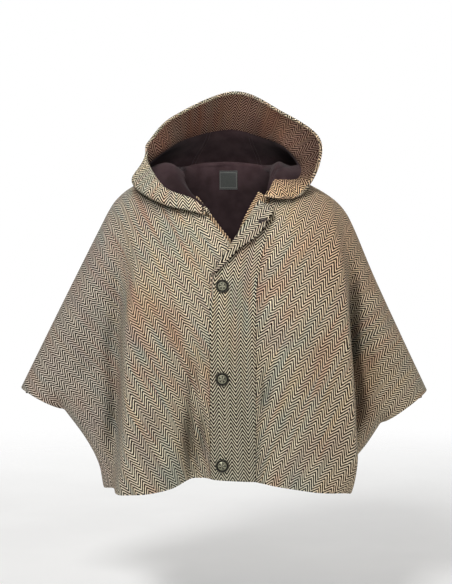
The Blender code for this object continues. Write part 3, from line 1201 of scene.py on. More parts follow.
CREASES = (
    Crease(Face.FRONT, -166, -190, -176, -640, 9, 6),
    Crease(Face.FRONT, -213, -230, -226, -640, 14, -9),
    Crease(Face.FRONT, -262, -220, -300, -440, 22, 6),
    Crease(Face.FRONT, -232, -380, -330, -470, 16, -5),
    Crease(Face.FRONT, -110, -130, -160, -330, 26, -4),
    Crease(Face.FRONT, -56, -300, -60, -740, 9, -17),
    Crease(Face.FRONT, -35, -330, -37, -740, 7, -14),
    Crease(Face.FRONT, -92, -420, -76, -610, 12, 4),
    Crease(Face.FRONT, -124, -440, -116, -610, 14, -4),
    Crease(Face.FRONT, 80, -240, 83, -680, 10, -12),
    Crease(Face.FRONT, 132, -210, 150, -420, 26, 4),
    Crease(Face.FRONT, 118, -400, 128, -610, 16, -5),
    Crease(Face.FRONT, 255, -150, 268, -560, 13, -30),
    Crease(Face.FRONT, 290, -230, 352, -420, 20, 5),
    Crease(Face.FRONT, 276, -280, 322, -490, 14, -5),
    Crease(Face.FRONT, 262, -440, 300, -540, 12, -4),
    Crease(Face.BACK, -60, -120, -150, -360, 22, -5),
    Crease(Face.BACK, 70, -110, 165, -350, 22, -5),
    Crease(Face.BACK, -240, -260, -310, -450, 20, 4),
    Crease(Face.BACK, 250, -250, 320, -460, 20, 4),
    Crease(Face.BACK, -210, -420, -290, -520, 14, -4),
    Crease(Face.BACK, 220, -430, 300, -530, 14, -4),
    Crease(Face.BACK, -40, -380, -52, -620, 14, -3),
    Crease(Face.BACK, 58, -400, 64, -610, 14, 3),
)


@dataclass
class CapeForm:
    """Shape of the cape's body as it hangs: panels seen from the front, with a depth for each place."""

    seam_gap: float = 0.15
    neck_share: float = 0.22
    hem_share: float = 0.60
    cuff_share: float = 0.86
    cuff_reach: float = 0.82
    edge_draw: float = 0.45
    hem_height: float = -650.0
    fold_growth: float = 1.2
    under_round: float = 44.0
    crease_wander: float = 0.35
    wander_length: float = 37.0
    crease_fade: float = 1.3
    crease_uneven: float = 0.2
    uneven_length: float = 23.0
    lean_right: float = 16.0
    lean_crest: dict[Side, float] = field(default_factory=lambda: {Side.RIGHT: 16.0, Side.LEFT: 12.0})
    lean_reach: dict[Side, float] = field(default_factory=lambda: {Side.RIGHT: 22.0, Side.LEFT: 24.0})
    lean_top: float = 190.0
    lean_growth: float = 150.0
    ridge_soft: dict[tuple[Face, Side], float] = field(default_factory=lambda: {
        (Face.FRONT, Side.RIGHT): 26.0,
        (Face.FRONT, Side.LEFT): 14.0,
        (Face.BACK, Side.RIGHT): 52.0,
        (Face.BACK, Side.LEFT): 52.0,
    })

    def __post_init__(self) -> None:
        """Reads the tables."""

        def paths(rows: Sequence[EdgeRow]) -> dict[Side, SmoothPath]:
            """An outline on both sides."""
            return {side: SmoothPath([row.on(side) for row in rows]) for side in Side}

        self.arm = paths(ARM_LINE)
        self.under = paths(UNDERARM)
        self.neck = {Face.FRONT: paths(FRONT_NECK), Face.BACK: paths(BACK_NECK)}
        self.hem = {Face.FRONT: paths(FRONT_HEM), Face.BACK: paths(BACK_HEM)}
        self.edge = paths(FRONT_EDGE)
        heights = [row.height for row in SECTIONS]
        self.at_height = {
            name: SmoothColumn(heights, [getattr(row, name) for row in SECTIONS])
            for name in Section._fields[1:]
        }

    def openness(self, x: Array, z: Array) -> Array:
        """Rounds the cloth over towards its seams, like a pillow's edge.

        Args:
            x: places across
            z: heights

        Returns:
            0 on the side seams and 1 in the open cloth.
        """
        places = np.stack([x, z], axis=-1)
        arm = np.minimum(*[self.arm[side].distance(places) for side in Side])
        under = np.minimum(*[self.under[side].distance(places) for side in Side])
        arm = np.minimum(arm / self.at_height["round_over"](z), 1.0)
        under = np.minimum(under / self.under_round, 1.0)
        return np.sqrt((1 - (1 - arm) ** 2) * (1 - (1 - under) ** 2))

    def fold_rise(self, face: Face, x: Array, z: Array) -> Array:
        """Adds up the folds of a face.

        Args:
            face: front or back
            x: places across
            z: heights

        Returns:
            How far they raise the cloth.
        """
        total = np.zeros_like(x)
        for fold in FOLDS:
            if fold.face is face:
                grown = np.maximum((fold.top_z - z) / (fold.top_z - self.hem_height), 0.0)
                centre = fold.top_x + (fold.hem_x - fold.top_x) * grown
                total += fold.rise * grown**self.fold_growth * np.exp(-(((x - centre) / fold.reach) ** 2))
        return total

    def crease_rise(self, face: Face, x: Array, z: Array) -> Array:
        """Adds up the creases of a face, each wandering a little and uneven along its length.

        Args:
            face: front or back
            x: places across
            z: heights

        Returns:
            How far they raise the cloth.
        """
        total = np.zeros_like(x)
        for number, crease in enumerate(CREASES):
            if crease.face is face:
                along = np.array([crease.end_x - crease.start_x, crease.end_z - crease.start_z])
                length = np.linalg.norm(along)
                along = along / length
                s = (x - crease.start_x) * along[0] + (z - crease.start_z) * along[1]
                q = (x - crease.start_x) * along[1] - (z - crease.start_z) * along[0]
                q = q + self.crease_wander * crease.reach * np.sin(s / self.wander_length + number)
                share = np.clip(s / length, 0.0, 1.0)
                waves = self.crease_uneven * np.sin(s / self.uneven_length + 2 * number)
                fade = np.sin(math.pi * share) ** self.crease_fade * (1 - self.crease_uneven + waves)
                total += crease.rise * fade * np.exp(-((q / crease.reach) ** 2))
        return total

    def sleeve_share(self, face: Face, x: Array, z: Array) -> Array:
        """Tells sleeve from body, with a soft change over the long ridge between them.

        Args:
            face: front or back
            x: places across
            z: heights

        Returns:
            0 on the body of a panel and 1 on its sleeve.
        """
        shares = {}
        for side in Side:
            soft = self.ridge_soft[face, side]
            ridge = self.at_height[f"ridge_{side.value}"](z)
            shares[side] = smoothstep((np.abs(x) - ridge + soft) / (2 * soft))
        return np.where(x < 0, shares[Side.RIGHT], shares[Side.LEFT])

    def cloth_y(self, face: Face, x: Array, z: Array) -> Array:
        """Works out the depth of a panel's outer face.

        Args:
            face: front or back
            x: places across
            z: heights, of the same shape

        Returns:
            y of each place.
        """
        share = self.sleeve_share(face, x, z)
        body = self.at_height[face.value](z) + self.fold_rise(face, x, z)
        sleeve = self.at_height[f"sleeve_{face.value}"](z)
        worn = body * (1 - share) + sleeve * share + self.crease_rise(face, x, z)
        depth = worn * self.openness(x, z)
        outwards = -1.0 if face is Face.FRONT else 1.0
        return self.at_height["seam_y"](z) + outwards * (depth + self.seam_gap)

    def on_cloth(self, face: Face, x: Array, z: Array) -> Array:
        """Places on a panel, from a grid of the front view."""
        y = self.cloth_y(face, x.ravel(), z.ravel()).reshape(x.shape)
        return np.stack([x, y, z], axis=-1)

    def leaned(self, x: Array, z: Array) -> Array:
        """Leans the fronts' ridges sideways, over the hollows beside them.

        Args:
            x: places across
            z: heights

        Returns:
            x of each place as it hangs.
        """
        open_share = self.openness(x, z)
        left_crest = self.at_height["ridge_left"](z) - self.lean_crest[Side.LEFT]
        left_hump = np.exp(-(((x - left_crest) / self.lean_reach[Side.LEFT]) ** 2))
        left = self.at_height["lean_left"](z) * left_hump
        right_crest = self.lean_crest[Side.RIGHT] - self.at_height["ridge_right"](z)
        right_hump = np.exp(-(((x - right_crest) / self.lean_reach[Side.RIGHT]) ** 2))
        grown = smoothstep((-z - self.lean_top) / self.lean_growth)
        right = self.lean_right * grown * right_hump
        return x + np.where(x < 0, -right, left) * open_share

    def panel(self, face: Face, side: Side, u: Array, w: Array) -> Array:
        """Front-view places of a panel.

        Args:
            face: front or back
            side: right or left
            u: from the panel's centre to its cuff
            w: from its top to its bottom

        Returns:
            x and z of each place.
        """
        neck = self.neck[face][side]
        hem = self.hem[face][side]
        on_neck = (u < self.neck_share)[:, None]
        arm_share = np.clip((u - self.neck_share) / (1 - self.neck_share), 0.0, 1.0)
        top = np.where(on_neck, neck.at(np.minimum(u / self.neck_share, 1.0)), self.arm[side].at(arm_share))
        on_hem = (u < self.hem_share)[:, None]
        under_share = np.clip((u - self.hem_share) / (self.cuff_share - self.hem_share), 0.0, 1.0)
        along_cuff = np.clip((u - self.cuff_share) / (1 - self.cuff_share), 0.0, 1.0)[:, None]
        cuff = self.arm[side].at(np.array([1.0])) - self.under[side].at(np.array([1.0]))
        side_edge = self.under[side].at(under_share) + cuff * self.cuff_reach * along_cuff
        bottom = np.where(on_hem, hem.at(np.minimum(u / self.hem_share, 1.0)), side_edge)
        w = w[:, None]
        places = top * (1 - w) + bottom * w
        if face is Face.FRONT:
            start, end = neck.at(np.array([0.0])), hem.at(np.array([0.0]))
            straight = start * (1 - w) + end * w
            drawn = (1 - smoothstep(u / self.edge_draw))[:, None]
            places = places + (self.edge[side].at(w[:, 0]) - straight) * drawn
        return places

    def sheet(self, face: Face, u: Array, v: Array) -> tuple[Array, Array]:
        """A grid of a panel.

        Args:
            face: front or back
            u: signed shares from the centre, below 0 on the right side
            v: shares from top to bottom

        Returns:
            Worn places and their front view.
        """
        rows = 0.5 - 0.5 * np.cos(math.pi * v)
        across, down = np.meshgrid(u, rows)
        across, down = across.ravel(), down.ravel()
        left = self.panel(face, Side.LEFT, np.abs(across), down)
        right = self.panel(face, Side.RIGHT, np.abs(across), down)
        seen = np.where((across < 0)[:, None], right, left)
        x, z = seen.T
        sideways = self.leaned(x, z) if face is Face.FRONT else x
        worn = np.stack([sideways, self.cloth_y(face, x, z), z], axis=-1)
        shape = (len(v), len(u))
        return worn.reshape(*shape, 3), seen.reshape(*shape, 2)


@dataclass
class Finishes:
    """All materials of the cape."""

    tweed: bpy.types.Material
    band: bpy.types.Material
    facing: bpy.types.Material
    fleece: bpy.types.Material
    label: bpy.types.Material
    metal: bpy.types.Material
    thread: bpy.types.Material
    dark_thread: bpy.types.Material
    hole_thread: bpy.types.Material


@dataclass
class Assembly:
    """Sheets of cloth that belong together, kept by name for the painted shade and the stitches."""

    form: CapeForm
    finishes: Finishes
    cloths: dict[str, Cloth] = field(default_factory=dict)

    def sew(
        self,
        cloth: Cloth,
        materials: Sequence[Material],
        slot: Slot,
        rests_on: Sequence[str],
        node: str | None = None,
        held: Held = Held.HUNG,
    ) -> None:
        """Builds a sheet and keeps it.

        Args:
            cloth: the sheet
            materials: of its two faces
            slot: of its finish
            rests_on: the nodes that hold it; not used
            node: the CAD node that it stands for
            held: how it is held; not used
        """
        made = cloth.build(materials, slot, node)
        self.cloths[cloth.name] = cloth


@dataclass
class Body(Assembly):
    """Fronts, back, back lining and label."""

    tweed: float = 2.4
    lining: float = 1.6
    ply_gap: float = 0.6
    front_grain: float = 34.0
    rows: int = 120
    front_columns: int = 116
    back_columns: int = 190
    turned_cuff: float = 0.99
    turned_hem: float = 0.88
    turned_edge: float = 0.16
    lining_reach: float = 0.23
    lining_short: int = 4
    lining_stride: int = 2
    label_centre: tuple[float, float] = (13.5, -11.0)
    label_size: tuple[float, float] = (40.0, 38.0)
    label_places: int = 15
    label_cloth: float = 0.8
    label_off: float = 1.6
    label_bulge: float = 0.8

    def build(self) -> None:
        """Makes all pieces of the body."""
        v = np.linspace(0.0, 1.0, self.rows + 1)
        u = np.linspace(0.0, 1.0, self.front_columns + 1)
        faced = self.turned_in(u, v, front=True)
        signed = np.maximum(u, 1e-6)
        for side, sign, turn in ((Side.RIGHT, -1, 1), (Side.LEFT, 1, -1)):
            node = f"front_{side.value}"
            worn, seen = self.form.sheet(Face.FRONT, signed * sign, v)
            grain = sign * self.front_grain
            self.place(Cloth(f"cape_{node}", worn, self.tweed, turn, seen, grain, faced), node)
        across = np.linspace(-1.0, 1.0, self.back_columns + 1)
        worn, seen = self.form.sheet(Face.BACK, across, v)
        back = Cloth("cape_back", worn, self.tweed, 1, seen)
        back.faced = self.turned_in(np.abs(across), v, front=False)
        self.place(back, "back")
        self.line_back(back)
        self.add_label()

    def turned_in(self, u: Array, v: Array, front: bool) -> Array:
        """Where the tweed is turned to the inside: along hem, cuffs and front edge.

        Args:
            u: shares from the centre to the cuff
            v: shares from top to bottom
            front: whether the sheet has a front edge

        Returns:
            rows x columns, 1 where tweed shows on the inside.
        """
        across, down = np.meshgrid(u, v)
        beside_seam = (across < self.form.hem_share) | (across > self.form.cuff_share)
        turned_in = (across > self.turned_cuff) | ((down > self.turned_hem) & beside_seam)
        if front:
            turned_in |= across < self.turned_edge
        return turned_in.astype(float)

    def place(self, cloth: Cloth, node: str) -> None:
        """Sews one panel, with fleece on its inner face."""
        materials = (self.finishes.tweed, self.finishes.fleece)
        self.sew(cloth, materials, Slot.TWEED, ["hood_centre"], node)

    def line_back(self, back: Cloth) -> None:
        """Lays the fleece lining inside the back.

        Args:
            back: the tweed of the back
        """
        columns = back.places.shape[1]
        reach = int(columns * self.lining_reach)
        middle = columns // 2
        across = slice(middle - reach, middle + reach + 1, self.lining_stride)
        down = slice(0, self.rows - self.lining_short, self.lining_stride)
        depth = self.tweed + self.ply_gap + self.lining
        inside = (back.places - back.normals * depth)[down, across]
        cloth = Cloth("back_lining", inside, self.lining, -1, back.guide[down, across])
        self.sew(cloth, [self.finishes.fleece] * 2, Slot.FLEECE, ["back"], "lining_back")

    def add_label(self) -> None:
        """Sews the bare label to the lining under the back neck."""
        shares = np.linspace(-0.5, 0.5, self.label_places)
        across, down = np.meshgrid(shares * self.label_size[0], shares * self.label_size[1])
        worn = self.form.on_cloth(Face.BACK, self.label_centre[0] + across, self.label_centre[1] - down)
        depth = self.tweed + self.ply_gap + self.lining + self.label_off
        bulge = self.label_bulge * (1 - (2 * down / self.label_size[1]) ** 2)
        worn = worn - grid_normals(worn, 1) * (depth + bulge)[..., None]
        cloth = Cloth("neck_label", worn, self.label_cloth, -1, np.stack([across, -down], axis=-1))
        self.sew(cloth, [self.finishes.label] * 2, Slot.LABEL, ["lining_back"], "label", Held.LAID)


HOOD = (
    Station(0.00, (-38, -109, -82), (-40, -113, -90), (-37, -112, -98), (-33, -106, -99)),
    Station(0.08, (-62, -105, -65), (-72, -112, -79), (-65, -108, -91), (-60, -97, -85)),
    Station(0.16, (-112, -92, -43), (-129, -102, -63), (-115, -97, -78), (-95, -81, -57)),
    Station(0.24, (-144, -62, 4), (-180, -54, -26), (-162, -50, -43), (-124, -24, -2)),
    Station(0.29, (-154, -50, 34), (-156, -26, 8), (-170, 2, -4), (-142, 14, 2)),
    Station(0.34, (-148, -46, 56), (-116, -10, 42), (-150, 50, 28), (-152, 54, -4)),
    Station(0.41, (-100, -30, 110), (-67, 50, 77), (-120, 134, 26), (-110, 136, -50)),
    Station(0.50, (26, -10, 165), (18, 70, 96), (10, 168, 24), (8, 162, -74)),
    Station(0.59, (126, -32, 118), (93, 50, 74), (136, 134, 26), (124, 136, -50)),
    Station(0.66, (198, -46, 64), (132, -10, 46), (168, 50, 28), (170, 54, -4)),
    Station(0.75, (197, -54, 3), (162, -27, 6), (159, 4, 8), (137, 4, 3)),
    Station(0.84, (160, -68, -57), (152, -54, -24), (142, -38, -6), (124, -34, -4)),
    Station(0.92, (117, -91, -68), (121, -80, -38), (117, -64, -12), (106, -58, -16)),
    Station(1.00, (84, -97, -62), (88, -94, -55), (92, -90, -57), (93, -89, -66)),
)
HOOD_DENTS = (
    Dent(0.50, 0.40, 0.16, 0.045, 0.10, -5),
    Dent(0.46, 0.55, 0.07, 0.050, -0.30, 4),
    Dent(0.40, 0.47, 0.05, 0.070, 0.80, -6),
    Dent(0.60, 0.48, 0.05, 0.070, -0.80, -6),
    Dent(0.36, 0.66, 0.03, 0.120, 0.50, 3),
    Dent(0.65, 0.66, 0.03, 0.120, -0.50, 3),
    Dent(0.50, 0.26, 0.10, 0.050, 0.00, 4),
    Dent(0.27, 0.52, 0.02, 0.100, 0.60, -3),
)
BRIM_LINE = (
    BrimRow(0.00, 0.30),
    BrimRow(0.04, 0.62),
    BrimRow(0.09, 0.80),
    BrimRow(0.50, 0.80),
    BrimRow(0.83, 0.80),
    BrimRow(0.88, 0.78),
    BrimRow(0.93, 0.73),
    BrimRow(0.96, 0.60),
    BrimRow(0.985, 0.34),
    BrimRow(1.00, 0.20),
)


@dataclass
class Hood(Assembly):
    """Three outer panels that roll over the rim, their facing and their lining."""

    bag_drop: float = 36.0
    bag_power: int = 8
    neck_stand: float = 12.0
    neck_rise: float = 1.0
    neck_inset: float = 6.0
    inset_fade: float = 16.0
    inset_forward: float = 0.4
    ring_steps: int = 8
    seams: tuple[float, float] = (0.452, 0.548)
    seam_share: float = 0.0003
    rim_start: float = 0.985
    roll: float = 2.5
    roll_rows: int = 7
    roll_back: float = 2.4
    back_rows: int = 3
    outer_cloth: float = 1.2
    lining: float = 1.6
    facing: float = 1.0
    facing_depth: float = 4.4
    lining_depth: float = 5.0
    facing_end: float = 0.004
    lining_ends: tuple[float, float] = (0.02, 0.985)
    lap: float = 0.01
    tuck: float = 1.5
    tuck_start: float = 0.92
    tuck_over: float = 0.06
    flat_ends: float = 0.06
    seam_roll: float = 1.2
    seam_off: float = 3.4
    seam_out: float = 2.8
    seam_up: float = 5.0
    roll_shares: tuple[float, float] = (0.2, 0.8)
    seam_rows: int = 11
    seam_columns: int = 91
    rows: int = 60
    side_columns: int = 84
    centre_columns: int = 24
    lining_rows: int = 48
    facing_rows: int = 24
    facing_columns: int = 185

    def __post_init__(self) -> None:
        """Works out the neck seam and the lines over the hood."""
        self.ring = self.neck_ring()
        shares = np.array([row.share for row in HOOD])
        lower = self.ring.at(shares)
        bag = np.array([row.bag for row in HOOD], float)
        rise = self.neck_stand - self.bag_drop * np.sin(math.pi * np.clip(shares, 0, 1)) ** self.bag_power
        stand = 0.5 * lower + 0.5 * bag
        stand[:, 2] += rise
        rest = [[row.crown, row.brim, row.rim] for row in HOOD]
        self.lines = np.concatenate([np.stack([lower, stand, bag], axis=1), np.array(rest, float)], axis=1)
        self.shares = shares
        self.brim = SmoothColumn([row.share for row in BRIM_LINE], [row.up for row in BRIM_LINE])

    def neck_ring(self) -> SmoothPath:
        """Follows the neck seam from the right front corner round the back to the left front corner.

        Returns:
            The seam's line.
        """
        shares = np.arange(self.ring_steps + 1) / self.ring_steps
        legs = (
            (Face.FRONT, self.form.neck[Face.FRONT][Side.RIGHT].at(shares)),
            (Face.BACK, self.form.neck[Face.BACK][Side.RIGHT].at(1 - shares[1:])),
            (Face.BACK, self.form.neck[Face.BACK][Side.LEFT].at(shares[1:])),
            (Face.FRONT, self.form.neck[Face.FRONT][Side.LEFT].at(1 - shares[1:])),
        )
        ring = []
        for face, seen in legs:
            x, z = seen.T
            y = self.form.cloth_y(face, x, z)
            if face is Face.FRONT:
                inset = self.neck_inset * smoothstep(-z / self.inset_fade)
                x = x - np.copysign(inset, x)
                y = y - self.inset_forward * inset
            ring.append(np.stack([x, y, z + self.neck_rise], axis=-1))
        return SmoothPath(np.concatenate(ring))

    def surface(self, a: Array, b: Array) -> Array:
        """Outer face of the hood.

        Args:
            a: shares over the top, from the right front end to the left one
            b: shares from neck seam to rim

        Returns:
            rows x columns x 3.
        """
        counts = np.interp(a, self.shares, np.arange(len(HOOD)))
        knots = smooth_line(self.lines, counts)
        knots[:, 0] = self.ring.at(a)
        places = smooth_line(knots.swapaxes(0, 1), b * (knots.shape[1] - 1))
        across, up = np.meshgrid(a, b)
        rise = np.zeros_like(across)
        for dent in HOOD_DENTS:
            off = (across - dent.share) / dent.reach
            off_up = (up - dent.up - dent.slant * (across - dent.share)) / dent.reach_up
            rise += dent.rise * np.exp(-(off**2) - off_up**2)
        return places + grid_normals(places, -1) * rise[..., None]

    def plump(self, a: Array) -> Array:
        """How thick the plies are together: full along the rim, and drawn flat at its two ends."""
        return 0.5 + 0.5 * smoothstep(np.minimum(a, 1 - a) / self.flat_ends)

    def rolled(self, a: Array) -> Array:
        """Rolls the outer face over the rim to the inside.

        Args:
            a: shares over the top

        Returns:
            rows x columns x 3.
        """
        body = self.surface(a, np.linspace(0.0, self.rim_start, self.rows + 1))
        normals = grid_normals(body, -1)
        beyond = unit(body[-1] - body[-2])
        roll = (self.roll * self.plump(a))[:, None]
        rows = [body]
        for angle in np.linspace(0.0, math.pi, self.roll_rows + 1)[1:]:
            lift = math.sin(angle) * beyond + (math.cos(angle) - 1) * normals[-1]
            rows.append((body[-1] + roll * lift)[None])
        insets = np.linspace(0.0, self.roll_back, self.back_rows + 1)[1:, None]
        at = np.broadcast_to(insets, (self.back_rows, len(a)))
        under = (body - 2 * roll * normals)[::-1]
        rows.append(read_columns(at, column_lengths(body[::-1]), under))
        return np.concatenate(rows)

    def build(self) -> None:
        """Makes all pieces of the hood."""
        first, second = self.seams
        spans = {
            "right": (0.0, first - self.seam_share, self.side_columns),
            "centre": (first + self.seam_share, second - self.seam_share, self.centre_columns),
            "left": (second + self.seam_share, 1.0, self.side_columns),
        }
        for name, (start, end, columns) in spans.items():
            a = np.linspace(start, end, columns + 1)
            outer = self.rolled(a)
            cloth = Cloth(f"hood_{name}_cloth", outer, self.outer_cloth, -1, unrolled(outer))
            carriers = ["front_right", "back", "front_left"]
            self.sew(cloth, [self.finishes.tweed] * 2, Slot.TWEED, carriers, f"hood_{name}")
            self.line_panel(name, a)
        self.face_rim()
        self.roll_seam()

    def inside(self, a: Array, b: Array, depth: Array) -> Array:
        """A grid inside the hood's outer face.

        Args:
            a: shares over the top, one for each column
            b: rows x columns, shares from neck seam to rim
            depth: rows x columns, distance from the outer face

        Returns:
            rows x columns x 3.
        """
        fine = np.linspace(0.0, 1.0, 6 * self.rows + 1)
        outer = self.surface(a, fine)
        reach = np.broadcast_to(fine[:, None], outer.shape[:2])
        normals = read_columns(b, reach, grid_normals(outer, -1))
        return read_columns(b, reach, outer) - normals * (depth * self.plump(a))[..., None]

    def line_panel(self, name: str, a: Array) -> None:
        """Lines one panel with fleece, its upper edge tucked under the facing.

        Args:
            name: of the panel
            a: shares over the top of its columns
        """
        first, last = self.lining_ends
        a = a[(a > first) & (a < last)]
        rows = np.linspace(0.0, 1.0, self.lining_rows)[:, None]
        up = self.lap + rows * (self.brim(a) + self.lap)
        depth = self.lining_depth - self.tuck * smoothstep((rows - self.tuck_start) / self.tuck_over)
        places = self.inside(a, up, np.broadcast_to(depth, up.shape))
        cloth = Cloth(f"hood_{name}_lining", places, self.lining, 1, unrolled(places))
        self.sew(cloth, [self.finishes.fleece] * 2, Slot.FLEECE, [f"hood_{name}"], f"hood_lining_{name}")

    def face_rim(self) -> None:
        """Faces the inside of the rim with tweed, in the facing finish that carries painted shade."""
        a = np.linspace(self.facing_end, 1 - self.facing_end, self.facing_columns)
        rows = np.linspace(0.0, 1.0, self.facing_rows)[:, None]
        low = self.brim(a)
        up = low + rows * (self.rim_start - low)
        places = self.inside(a, up, np.full_like(up, self.facing_depth))
        cloth = Cloth("hood_rim_facing", places, self.facing, 1, places[..., [0, 2]])
        carriers = ["hood_right", "hood_centre", "hood_left"]
        self.sew(cloth, [self.finishes.facing] * 2, Slot.FACING, carriers, "hood_facing")

    def roll_seam(self) -> None:
        """Rolls the fleece over the neck seam, from one side round the back to the other."""
        middle = self.ring.at(np.linspace(*self.roll_shares, self.seam_columns))
        inwards = unit((middle.mean(0) - middle) * np.array([1.0, 1.0, 0.0]))
        angle = np.linspace(0.0, math.pi, self.seam_rows)[:, None, None]
        out = inwards * (self.seam_off + self.seam_out * np.sin(angle))
        places = middle + out + np.array([0.0, 0.0, self.seam_up]) * np.cos(angle)
        cloth = Cloth("neck_seam_roll", places, self.seam_roll, -1, unrolled(places[::-1])[::-1])
        self.sew(cloth, [self.finishes.fleece] * 2, Slot.FLEECE, ["lining_back"], held=Held.FOLDED)


BAND_EDGES = (
    BandRow(64, -614, -20.5, -610),
    BandRow(64, -420, -20.5, -420),
    BandRow(65, -250, -20.5, -240),
    BandRow(72, -203, -9, -184),
    BandRow(80, -160, 5, -147),
    BandRow(90, -119, 12, -104),
    BandRow(100, -81, 40, -57),
)


@dataclass
class ButtonBand(Assembly):
    """The straight band on the left front, with its top turned back as a lapel."""

    roll_start: tuple[float, float] = (-17.0, -223.0)
    roll_end: tuple[float, float] = (77.0, -73.0)
    roll_radius: float = 3.0
    lapel_lift: float = 4.0
    lift_reach: float = 30.0
    thickness: float = 3.2
    gap: float = 1.4
    fold_limits: tuple[float, float] = (0.3, 0.97)
    flat_fold: float = 0.45
    flat_bend: float = 0.27
    loose_from: float = 0.52
    loose_over: float = 0.14
    knots: tuple[float, ...] = (0.0, 0.4, 0.7, 1.0)
    rows: int = 190
    columns: int = 40

    def __post_init__(self) -> None:
        """Works out the two edges."""
        self.seam = SmoothPath([(row.seam_x, row.seam_z) for row in BAND_EDGES])
        self.free = SmoothPath([(row.free_x, row.free_z) for row in BAND_EDGES])

    def surface(self, c: Array, t: Array) -> Array:
        """Outer face of the band.

        Args:
            c: shares from its seam to its free edge
            t: shares from hem to neck

        Returns:
            rows x columns x 3.
        """
        start = np.array(self.roll_start)
        along = unit(np.array(self.roll_end) - start)
        normal = np.array([-along[1], along[0]])
        turn = math.pi * self.roll_radius
        seam, free = self.seam.at(t), self.free.at(t)
        least, most = self.fold_limits
        places = np.zeros((len(t), len(c), 2))
        for k in range(len(t)):
            width = np.linalg.norm(free[k] - seam[k])
            seam_q, free_q = (seam[k] - start) @ normal, (free[k] - start) @ normal
            reach = -seam_q / (free_q - seam_q) if free_q > seam_q else 1.0
            reach = min(max(reach, least), most)
            loose = float(smoothstep((t[k] - self.loose_from) / self.loose_over))
            fold = self.flat_fold + (reach - self.flat_fold) * loose
            bend = min(self.flat_bend + (turn / width - self.flat_bend) * loose, (1 - fold) * 0.5)
            s = np.interp(c, self.knots, (0.0, fold, fold + bend, 1.0))
            places[k] = seam[k] + (free[k] - seam[k]) * s[:, None]
        q = (places - start) @ normal
        angle = np.clip(q, 0.0, turn) / self.roll_radius
        past = np.maximum(q - turn, 0.0)
        shift = np.where(q < 0, q, self.roll_radius * np.sin(angle) - past)
        lift = self.lapel_lift * np.minimum(past / self.lift_reach, 1.0)
        rise = self.roll_radius * (1 - np.cos(angle)) + lift
        moved = places + normal * (shift - q)[..., None]
        worn = self.form.on_cloth(Face.FRONT, moved[..., 0], moved[..., 1])
        worn[..., 1] = worn[..., 1] - rise - self.gap - self.thickness
        return worn

    def shown(self, c: float, t: float) -> Array:
        """Finds a place on the face of the turned lapel that shows.

        Args:
            c: share from the band's seam to its free edge
            t: share from hem to neck

        Returns:
            The place.
        """
        near = np.array([-0.01, 0.0, 0.01])
        grid = self.surface(np.clip(c + near, 0.0, 1.0), np.clip(t + near, 0.0, 1.0))
        normal = grid_normals(grid, 1)[1, 1]
        normal = normal if normal[1] < 0 else -normal
        return grid[1, 1] + normal * self.thickness

    def build(self) -> None:
        """Makes the band."""
        worn = self.surface(np.linspace(0.0, 1.0, self.columns + 1), np.linspace(0.0, 1.0, self.rows + 1))
        cloth = Cloth("front_band", worn, self.thickness, -1, unrolled(worn))
        self.sew(cloth, [self.finishes.band] * 2, Slot.TWEED, ["front_left"], "button_band")


RIGHT_STRIP = (
    StripRow(-58, -67, 12.0),
    StripRow(-36, -94, 10.0),
    StripRow(-8, -128, 7.5),
    StripRow(15, -155, 5.5),
    StripRow(25, -182, 3.0),
)
LEFT_STRIP = (
    StripRow(86, -58, 15.0),
    StripRow(77, -73, 14.0),
    StripRow(55, -108, 11.0),
    StripRow(36, -138, 5.0),
)


@dataclass
class EdgeStrips(Assembly):
    """Narrow strips of the fronts' own facing that show past the open neck's edges."""

    thickness: float = 1.4
    under: dict[Side, float] = field(default_factory=lambda: {Side.RIGHT: 7.0, Side.LEFT: 24.0})
    behind: dict[Side, float] = field(default_factory=lambda: {Side.RIGHT: 7.0, Side.LEFT: 6.0})
    rows: int = 48
    columns: int = 8

    def build(self) -> None:
        """Makes both strips."""
        self.strip(Side.RIGHT, RIGHT_STRIP, "front_right")
        self.strip(Side.LEFT, LEFT_STRIP, "button_band")

    def strip(self, side: Side, rows: Sequence[StripRow], node: str) -> None:
        """Makes the strip of one side.

        Args:
            side: whose edge it follows
            rows: the edge, from the top down
            node: the CAD node that it is sewn to
        """
        share = np.linspace(0.0, 1.0, self.rows + 1)
        line = SmoothPath([(row.x, row.z) for row in rows]).at(share)
        shows = np.interp(share, np.linspace(0.0, 1.0, len(rows)), [row.shows for row in rows])
        along = unit(np.gradient(line, axis=0))
        turn = 1 if side is Side.LEFT else -1
        past = np.stack([-along[:, 1], along[:, 0]], axis=-1) * -turn
        under = self.under[side]
        reach = -under + (shows + under)[:, None] * np.linspace(0.0, 1.0, self.columns + 1)
        seen = line[:, None, :] + past[:, None, :] * reach[..., None]
        worn = self.form.on_cloth(Face.FRONT, seen[..., 0], seen[..., 1])
        worn[..., 1] += self.behind[side]
        cloth = Cloth(f"neck_strip_{side.value}", worn, self.thickness, turn, unrolled(worn))
        # The strips take the facing finish, whose painted shade makes them read dark.
        self.sew(cloth, [self.finishes.facing] * 2, Slot.FACING, [node])


